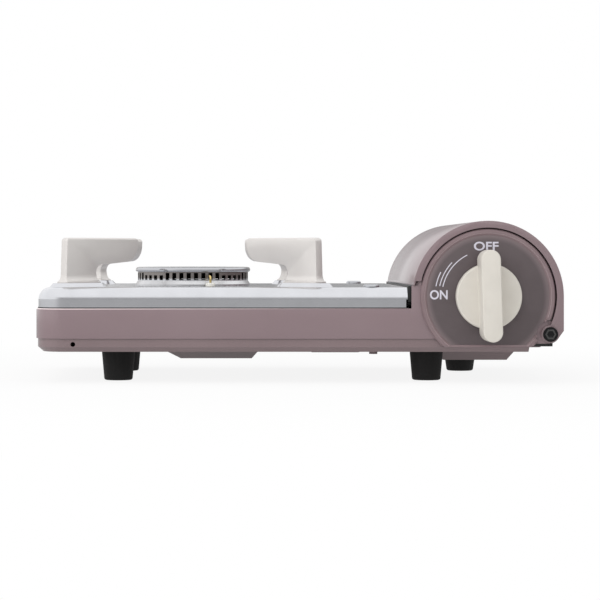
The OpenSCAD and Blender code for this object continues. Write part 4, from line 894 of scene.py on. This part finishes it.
printed_word("OFF", 94.5, 107.8, 71.9, 76.7)
printed_word("ON", 70.8, 80.35, 45.5, 50.6)

# %% [markdown]
# Each arc starts as a short block of ink at its first angle, and its far end is spun
# round the knob's axis to the last one.

# %% Arcs of the flame scale
ARC_W, ARC_START = 0.5 * MM, 0.1 * MM   # width, and length of the block that is spun
SAME_INK = 0.0001 * MM      # points of the thin film nearer than this are merged


def printed_arc(name, radius, first, last):
    turn = math.radians(first)
    arc = begin(bpy.ops.mesh.primitive_cube_add, size=1, scale=(ARC_W, INK, ARC_START),
                rotation=(0, -turn, 0),
                location=(knob_x + radius * MM * math.cos(turn), dial_low.y - INK / 2,
                          knob_z + radius * MM * math.sin(turn)))
    ahead = Vector((math.sin(turn), 0, -math.cos(turn)))
    pick_faces(arc, lambda c, n: n.dot(ahead) > FACING)
    bpy.ops.mesh.spin(steps=24, angle=math.radians(last - first), axis=(0, 1, 0),
                      center=(knob_x, dial_low.y, knob_z))
    bpy.ops.mesh.select_all(action="SELECT")
    bpy.ops.mesh.remove_doubles(threshold=SAME_INK)
    bpy.ops.mesh.normals_make_consistent(inside=False)
    bpy.ops.object.mode_set(mode="OBJECT")
    settle(arc, name, "base", ink, INK_ANGLE)


printed_arc("scale_arc_inner", 24.97, 168, 117)
printed_arc("scale_arc_middle", 26.7, 168, 137)
printed_arc("scale_arc_outer", 28.69, 169, 153)

# %% [markdown]
# ## Screws of the top plate
# Two pan-head screws hold the plate's right end. A real head is stamped: domed, with a
# cross recess whose walls lean in for the driver. One is modelled and the other copied.

# %% Pan-head screw
screw_low, screw_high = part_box("plate_screws")
head_t = 1.5 * MM
shank_r = 1.9 * MM
plate_top = screw_high.z - head_t
head_r = (screw_high.x - screw_low.x) / 2
screw_x = (screw_high.x + screw_low.x) / 2
screw_ys = (screw_low.y + head_r, screw_high.y - head_r)
head_middle = plate_top + head_t / 2
screw = begin(bpy.ops.mesh.primitive_cylinder_add, vertices=64, radius=head_r, depth=head_t,
              location=(screw_x, screw_ys[0], head_middle))
pick_edges(screw, lambda a, b: a.z > head_middle and b.z > head_middle)
bpy.ops.mesh.bevel(offset=0.8 * head_t, segments=6, affect="EDGES")
pick_faces(screw, lambda c, n: n.z < -FACING)
bpy.ops.mesh.inset(thickness=head_r - shank_r)
draw_out(z=screw_low.z - plate_top)
bpy.ops.object.mode_set(mode="OBJECT")
print("screw head", round(2 * head_r / MM, 1), "mm across")

# %% [markdown]
# Each arm of the cross is cut by a blade that is narrower at its lower end.

# %% Cross recess
BLADE = (4.6 * MM, 0.95 * MM, 1.6 * MM)
BLADE_DRAFT = 0.6           # size of the blade's lower end as a share of the upper one
for turn in (20, 110):
    blade = begin(bpy.ops.mesh.primitive_cube_add, size=1, scale=BLADE,
                  rotation=(0, 0, math.radians(turn)),
                  location=(screw_x, screw_ys[0], plate_top + head_t))
    pick_faces(blade, lambda c, n: n.z < -FACING)
    bpy.ops.transform.resize(value=(BLADE_DRAFT, BLADE_DRAFT, 1),
                             center_override=(screw_x, screw_ys[0], plate_top))
    bpy.ops.object.mode_set(mode="OBJECT")
    apply(screw, "BOOLEAN", operation="DIFFERENCE", object=blade, solver="EXACT")
    bpy.data.objects.remove(blade)
settle(screw, "plate_screw_front", "base", screw_steel)
second = twin(screw, "plate_screw_rear", (0, screw_ys[1] - screw_ys[0], 0))
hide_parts("plate_screws")
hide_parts("plate_screws")

# %% [markdown]
# ## Gussets beside the hinge
# Inside the round end walls, a small folded gusset closes the corner between each wall
# and the hinge, where one would otherwise look right through the bay. It starts as a
# block as thick as the sheet, and its free corner is cut off by a bevel.

# %% Gussets
GUSSET = (6.2 * MM, 0.7 * MM, 5.3 * MM)
gusset_x, gusset_z = 134 * MM, 31.6 * MM
wall_middle = 0.4 * MM      # from an end of the shell to the middle of its wall
gusset_ys = (shell_low.y + wall_middle, shell_high.y - wall_middle)
gusset = begin(bpy.ops.mesh.primitive_cube_add, size=1, scale=GUSSET,
               location=(gusset_x, gusset_ys[0], gusset_z))
pick_edges(gusset, lambda a, b: abs(a.y - b.y) > GUSSET[1] / 2 and a.x > gusset_x
           and a.z > gusset_z)
bpy.ops.mesh.bevel(offset=1.6 * MM, segments=3, affect="EDGES")
bpy.ops.object.mode_set(mode="OBJECT")
apply(gusset, "BEVEL", width=0.15 * MM, segments=2, limit_method="ANGLE",
      angle_limit=math.radians(40))
settle(gusset, "hinge_gusset_front", "base", mauve_enamel)
twin(gusset, "hinge_gusset_rear", (0, gusset_ys[1] - gusset_ys[0], 0))

# %% [markdown]
# Two more small pieces stand there. A tab behind the shell's step stops the cover's rim,
# and a black strip fills the slot between the plate's end and the shield as painted shade.
# Each is a block, given by two corners in millimetres, whose upper edges are rounded as
# its process leaves them.

# %% Tab and strip
def block(name, low, high, radius_mm, segments, finish):
    low, high = Vector(low) * MM, Vector(high) * MM
    made = begin(bpy.ops.mesh.primitive_cube_add, size=1, location=(low + high) / 2,
                 scale=high - low)
    pick_edges(made, lambda a, b: a.z > high.z - TOUCH and b.z > high.z - TOUCH)
    bpy.ops.mesh.bevel(offset=radius_mm * MM, segments=segments, affect="EDGES")
    bpy.ops.object.mode_set(mode="OBJECT")
    apply(made, "BEVEL", width=0.12 * MM, segments=2, limit_method="ANGLE",
          angle_limit=math.radians(50))
    settle(made, name, "base", finish)


block("cover_stop_tab", (63.4, -73.65, 51), (67.5, -72.95, 55), 0.2, 2, mauve_enamel)
# A black strip as painted shade in the slot beside the plate's end.
block("plate_end_shadow_strip", (59.15, -73.2, 44), (61.6, 72, 52.9), 0.8, 4, black_silicone_and_shade)

# %% [markdown]
# ## Shadow line at the top plate
# A narrow black strip fills the joint between the top plate's skirt and the shell, as a
# painted shadow line. It stands half a millimetre proud of the shell's rim and draws the
# thin dark line there. A rectangle as large as the plate gets its two left corners
# rounded, loses its right side, and the line that is left is drawn up and given a thickness.

# %% Painted shadow strip
plate_low, plate_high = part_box("top_plate")
SHADOW_STRIP_GROWTH = 0.04 * MM     # how much longer and wider than the plate it is
SHADOW_STRIP_FOOT = 0.9 * MM        # how far it reaches below the rim
SHADOW_STRIP_H, SHADOW_STRIP_T = 1.4 * MM, 0.28 * MM
SHADOW_STRIP_R = 14.8 * MM
bpy.ops.object.select_all(action="DESELECT")
bpy.ops.mesh.primitive_plane_add(
    size=1, location=((plate_low.x + plate_high.x) / 2, (plate_low.y + plate_high.y) / 2,
                      RIM_Z - SHADOW_STRIP_FOOT))
shadow_strip = bpy.context.active_object
shadow_strip.scale = (plate_high.x - plate_low.x + SHADOW_STRIP_GROWTH,
              plate_high.y - plate_low.y + SHADOW_STRIP_GROWTH, 1)
bpy.ops.object.transform_apply(location=True, rotation=True, scale=True)
bpy.ops.object.mode_set(mode="EDIT")
pick_points(shadow_strip, lambda p: p.x < 0)
bpy.ops.mesh.bevel(offset=SHADOW_STRIP_R, segments=16, affect="VERTICES")
pick_edges(shadow_strip, lambda a, b: a.x > plate_high.x - 1 * MM and b.x > plate_high.x - 1 * MM)
bpy.ops.mesh.delete(type="EDGE")
bpy.ops.mesh.select_all(action="SELECT")
draw_out(z=SHADOW_STRIP_H)
bpy.ops.mesh.select_all(action="SELECT")
bpy.ops.mesh.normals_make_consistent(inside=False)
bpy.ops.object.mode_set(mode="OBJECT")
apply(shadow_strip, "SOLIDIFY", thickness=SHADOW_STRIP_T, offset=1.0)
settle(shadow_strip, "plate_shadow_strip", "base", black_silicone_and_shade, 40)

# %% [markdown]
# ## Stage
# The floor is pale and matt, and isn't part of the stove.

# %% Floor
bpy.ops.object.select_all(action="DESELECT")
bpy.ops.mesh.primitive_plane_add(size=8, location=(0, 0, 0))
floor = bpy.context.active_object
floor.name = "floor"
print("floor is", round(floor.dimensions.x, 1), "m wide")

# %% [markdown]
# Its look is a mix of a matt white that takes shadows and of an even white that doesn't.
# How much of each there is depends on the ray. The camera sees it all white far from
# the stove, and a little less near it, so that the shadow round the feet runs out
# softly. The steel mirrors it as a light grey, and it throws a little light back.

# %% Look of the floor
NEAR_SHARE = 0.88           # share of even white, seen at the stove
NEAR, FAR = 0.16, 0.5       # metres from the middle between which it grows to all
MIRRORED_SHARE = 0.8        # the same share in what metal mirrors
BOUNCED_SHARE = 0.25        # and in the light that the floor throws back
MIRRORED_DROP = 0.47        # how much darker the even white is in a mirror
floor_paint = bpy.data.materials.new("matt_floor_white")
floor_paint.use_nodes = True
tree = floor_paint.node_tree
tree.nodes.clear()
rays = add(tree, "ShaderNodeLightPath")
direct = add(tree, "ShaderNodeMath", [(0, rays.outputs["Is Camera Ray"]),
             (1, rays.outputs["Is Transmission Ray"])], operation="MAXIMUM")
place = add(tree, "ShaderNodeTexCoord").outputs["Object"]
distance = add(tree, "ShaderNodeVectorMath", [(0, place)], operation="LENGTH")
clear = add(tree, "ShaderNodeMapRange", [("Value", distance.outputs["Value"]),
            ("From Min", NEAR), ("From Max", FAR), ("To Min", NEAR_SHARE)],
            interpolation_type="SMOOTHSTEP")
seen = add(tree, "ShaderNodeMath", [(0, direct.outputs[0]), (1, clear.outputs[0])],
           operation="MULTIPLY")
mirrored = add(tree, "ShaderNodeMath", [(0, rays.outputs["Is Glossy Ray"]),
               (1, MIRRORED_SHARE), (2, seen.outputs[0])], operation="MULTIPLY_ADD")
share = add(tree, "ShaderNodeMath", [(0, rays.outputs["Is Diffuse Ray"]),
            (1, BOUNCED_SHARE), (2, mirrored.outputs[0])], operation="MULTIPLY_ADD")
glow = add(tree, "ShaderNodeMath", [(0, rays.outputs["Is Glossy Ray"]),
           (1, -MIRRORED_DROP), (2, 1.0)], operation="MULTIPLY_ADD")
matt = add(tree, "ShaderNodeBsdfDiffuse", [("Color", linear("F2F2F2"))])
white = add(tree, "ShaderNodeEmission", [("Strength", glow.outputs[0])])
both = add(tree, "ShaderNodeMixShader", [("Fac", share.outputs[0]),
                                         (1, matt.outputs[0]), (2, white.outputs[0])])
add(tree, "ShaderNodeOutputMaterial", [("Surface", both.outputs[0])])
floor.data.materials.append(floor_paint)
print("the floor's look has", len(tree.nodes), "shader nodes")

# %% [markdown]
# ## Light
# A large soft lamp at the front left is the key, as on the photograph, where faces
# turned to the left are the lighter ones. A weaker one on the right fills in, and one
# above lights the plate. The lamps are large, so that shadows are soft, and metal
# doesn't mirror them, as behind crossed polarising filters.

# %% Lamps
AIM = Vector((0, 0, 45 * MM))


def lamp(name, place, size, power):
    bpy.ops.object.light_add(type="AREA", location=place)
    made = bpy.context.active_object
    made.name = name
    made.data.shape = "DISK"
    made.data.size = size
    made.data.energy = power
    made.visible_glossy = False
    made.rotation_euler = (AIM - Vector(place)).to_track_quat("-Z", "Y").to_euler()
    print("lamp", name, power, "W")


lamp("key_left", (-0.64, -0.72, 0.64), 1.45, 7.6)
lamp("fill_right", (0.95, -0.85, 0.7), 1.3, 2.0)
lamp("top", (0.05, 0.25, 1.2), 1.4, 3)

# %% [markdown]
# The world gives the rest. Camera and transmission rays see it white. The light that it
# throws on the stove is plain, and a little weaker from the right. The directions in
# which rays leave the stove are read once, and all that follows is built on them.

# %% World and its directions
world = bpy.data.worlds.new("studio")
bpy.context.scene.world = world
world.use_nodes = True
tree = world.node_tree
tree.nodes.clear()
rays = add(tree, "ShaderNodeLightPath")
direct = add(tree, "ShaderNodeMath", [(0, rays.outputs["Is Camera Ray"]),
             (1, rays.outputs["Is Transmission Ray"])], operation="MAXIMUM")
direction = add(tree, "ShaderNodeTexCoord").outputs["Generated"]
toward = add(tree, "ShaderNodeSeparateXYZ", [("Vector", direction)])
plain = add(tree, "ShaderNodeMapRange", [("Value", toward.outputs["X"]), ("From Min", 0.1),
            ("From Max", 0.95), ("To Min", 0.56), ("To Max", 0.52)])

# %% [markdown]
# What the metal mirrors is a white tent that stands open to the camera and to the
# right: white overhead, and grey near the horizon there. That grey gives the upright
# sides of the steel their tone, and the bright shoulder above them its crisp lower edge.

# %% White tent with an opening
TENT, OPENING = 1.2, 0.45   # brightness of the cloth and of the opening
OPEN_TOWARD = (0.75, -0.66, 0)
low = add(tree, "ShaderNodeMapRange", [("Value", toward.outputs["Z"]), ("From Min", 0.38),
          ("From Max", 0.2)], interpolation_type="SMOOTHSTEP")
along = add(tree, "ShaderNodeVectorMath", [(0, direction), (1, OPEN_TOWARD)],
            operation="DOT_PRODUCT")
front = add(tree, "ShaderNodeMapRange", [("Value", along.outputs["Value"]),
            ("From Min", -0.15), ("From Max", 0.45)], interpolation_type="SMOOTHSTEP")
opening = add(tree, "ShaderNodeMath", [(0, low.outputs["Result"]),
              (1, front.outputs["Result"])], operation="MULTIPLY")
tent = add(tree, "ShaderNodeMapRange", [("Value", opening.outputs[0]), ("To Min", TENT),
                                        ("To Max", OPENING)])
print("the opening is", round(OPENING / TENT, 2), "times as bright as the tent")

# %% [markdown]
# Low behind the stove it is darker too, and that draws a thin dark line along rounded
# outlines. On the left the dark backdrop ends, since the cover's left side would mirror
# it and turn too dark.

# %% Dark backdrop
BACKDROP, LEFT_SHARE = 0.85, 0.15
behind = add(tree, "ShaderNodeMapRange", [("Value", toward.outputs["Y"]), ("From Min", 0.4),
             ("From Max", 0.85)], interpolation_type="SMOOTHSTEP")
near_floor = add(tree, "ShaderNodeMapRange", [("Value", toward.outputs["Z"]),
                 ("From Min", 0.5), ("From Max", 0.25), ("To Max", BACKDROP)],
                 interpolation_type="SMOOTHSTEP")
side = add(tree, "ShaderNodeMapRange", [("Value", toward.outputs["X"]), ("From Min", -0.12),
           ("From Max", 0.0), ("To Min", LEFT_SHARE)])
band = add(tree, "ShaderNodeMath", [(0, behind.outputs["Result"]),
           (1, near_floor.outputs["Result"])], operation="MULTIPLY")
backdrop = add(tree, "ShaderNodeMath", [(0, band.outputs[0]), (1, side.outputs["Result"])],
               operation="MULTIPLY")
room = add(tree, "ShaderNodeMath", [(0, tent.outputs["Result"]), (1, backdrop.outputs[0])],
           operation="SUBTRACT")

# %% [markdown]
# Last, each kind of ray gets its level: mirrored rays the tent, the others that light
# the stove the plain one, and those that the camera sees straight on a pure white.

# %% What each kind of ray sees
mirrored = add(tree, "ShaderNodeMix", [("Factor", rays.outputs["Is Glossy Ray"]),
               ("A", plain.outputs["Result"]), ("B", room.outputs[0])])
level = add(tree, "ShaderNodeMix", [("Factor", direct.outputs[0]),
            ("A", mirrored.outputs["Result"]), ("B", 1.0)])
sky = add(tree, "ShaderNodeBackground", [("Color", linear("FFFFFF")),
                                         ("Strength", level.outputs["Result"])])
add(tree, "ShaderNodeOutputWorld", [("Surface", sky.outputs[0])])
bpy.context.scene.view_settings.view_transform = "Standard"
print("world has", len(tree.nodes), "nodes")
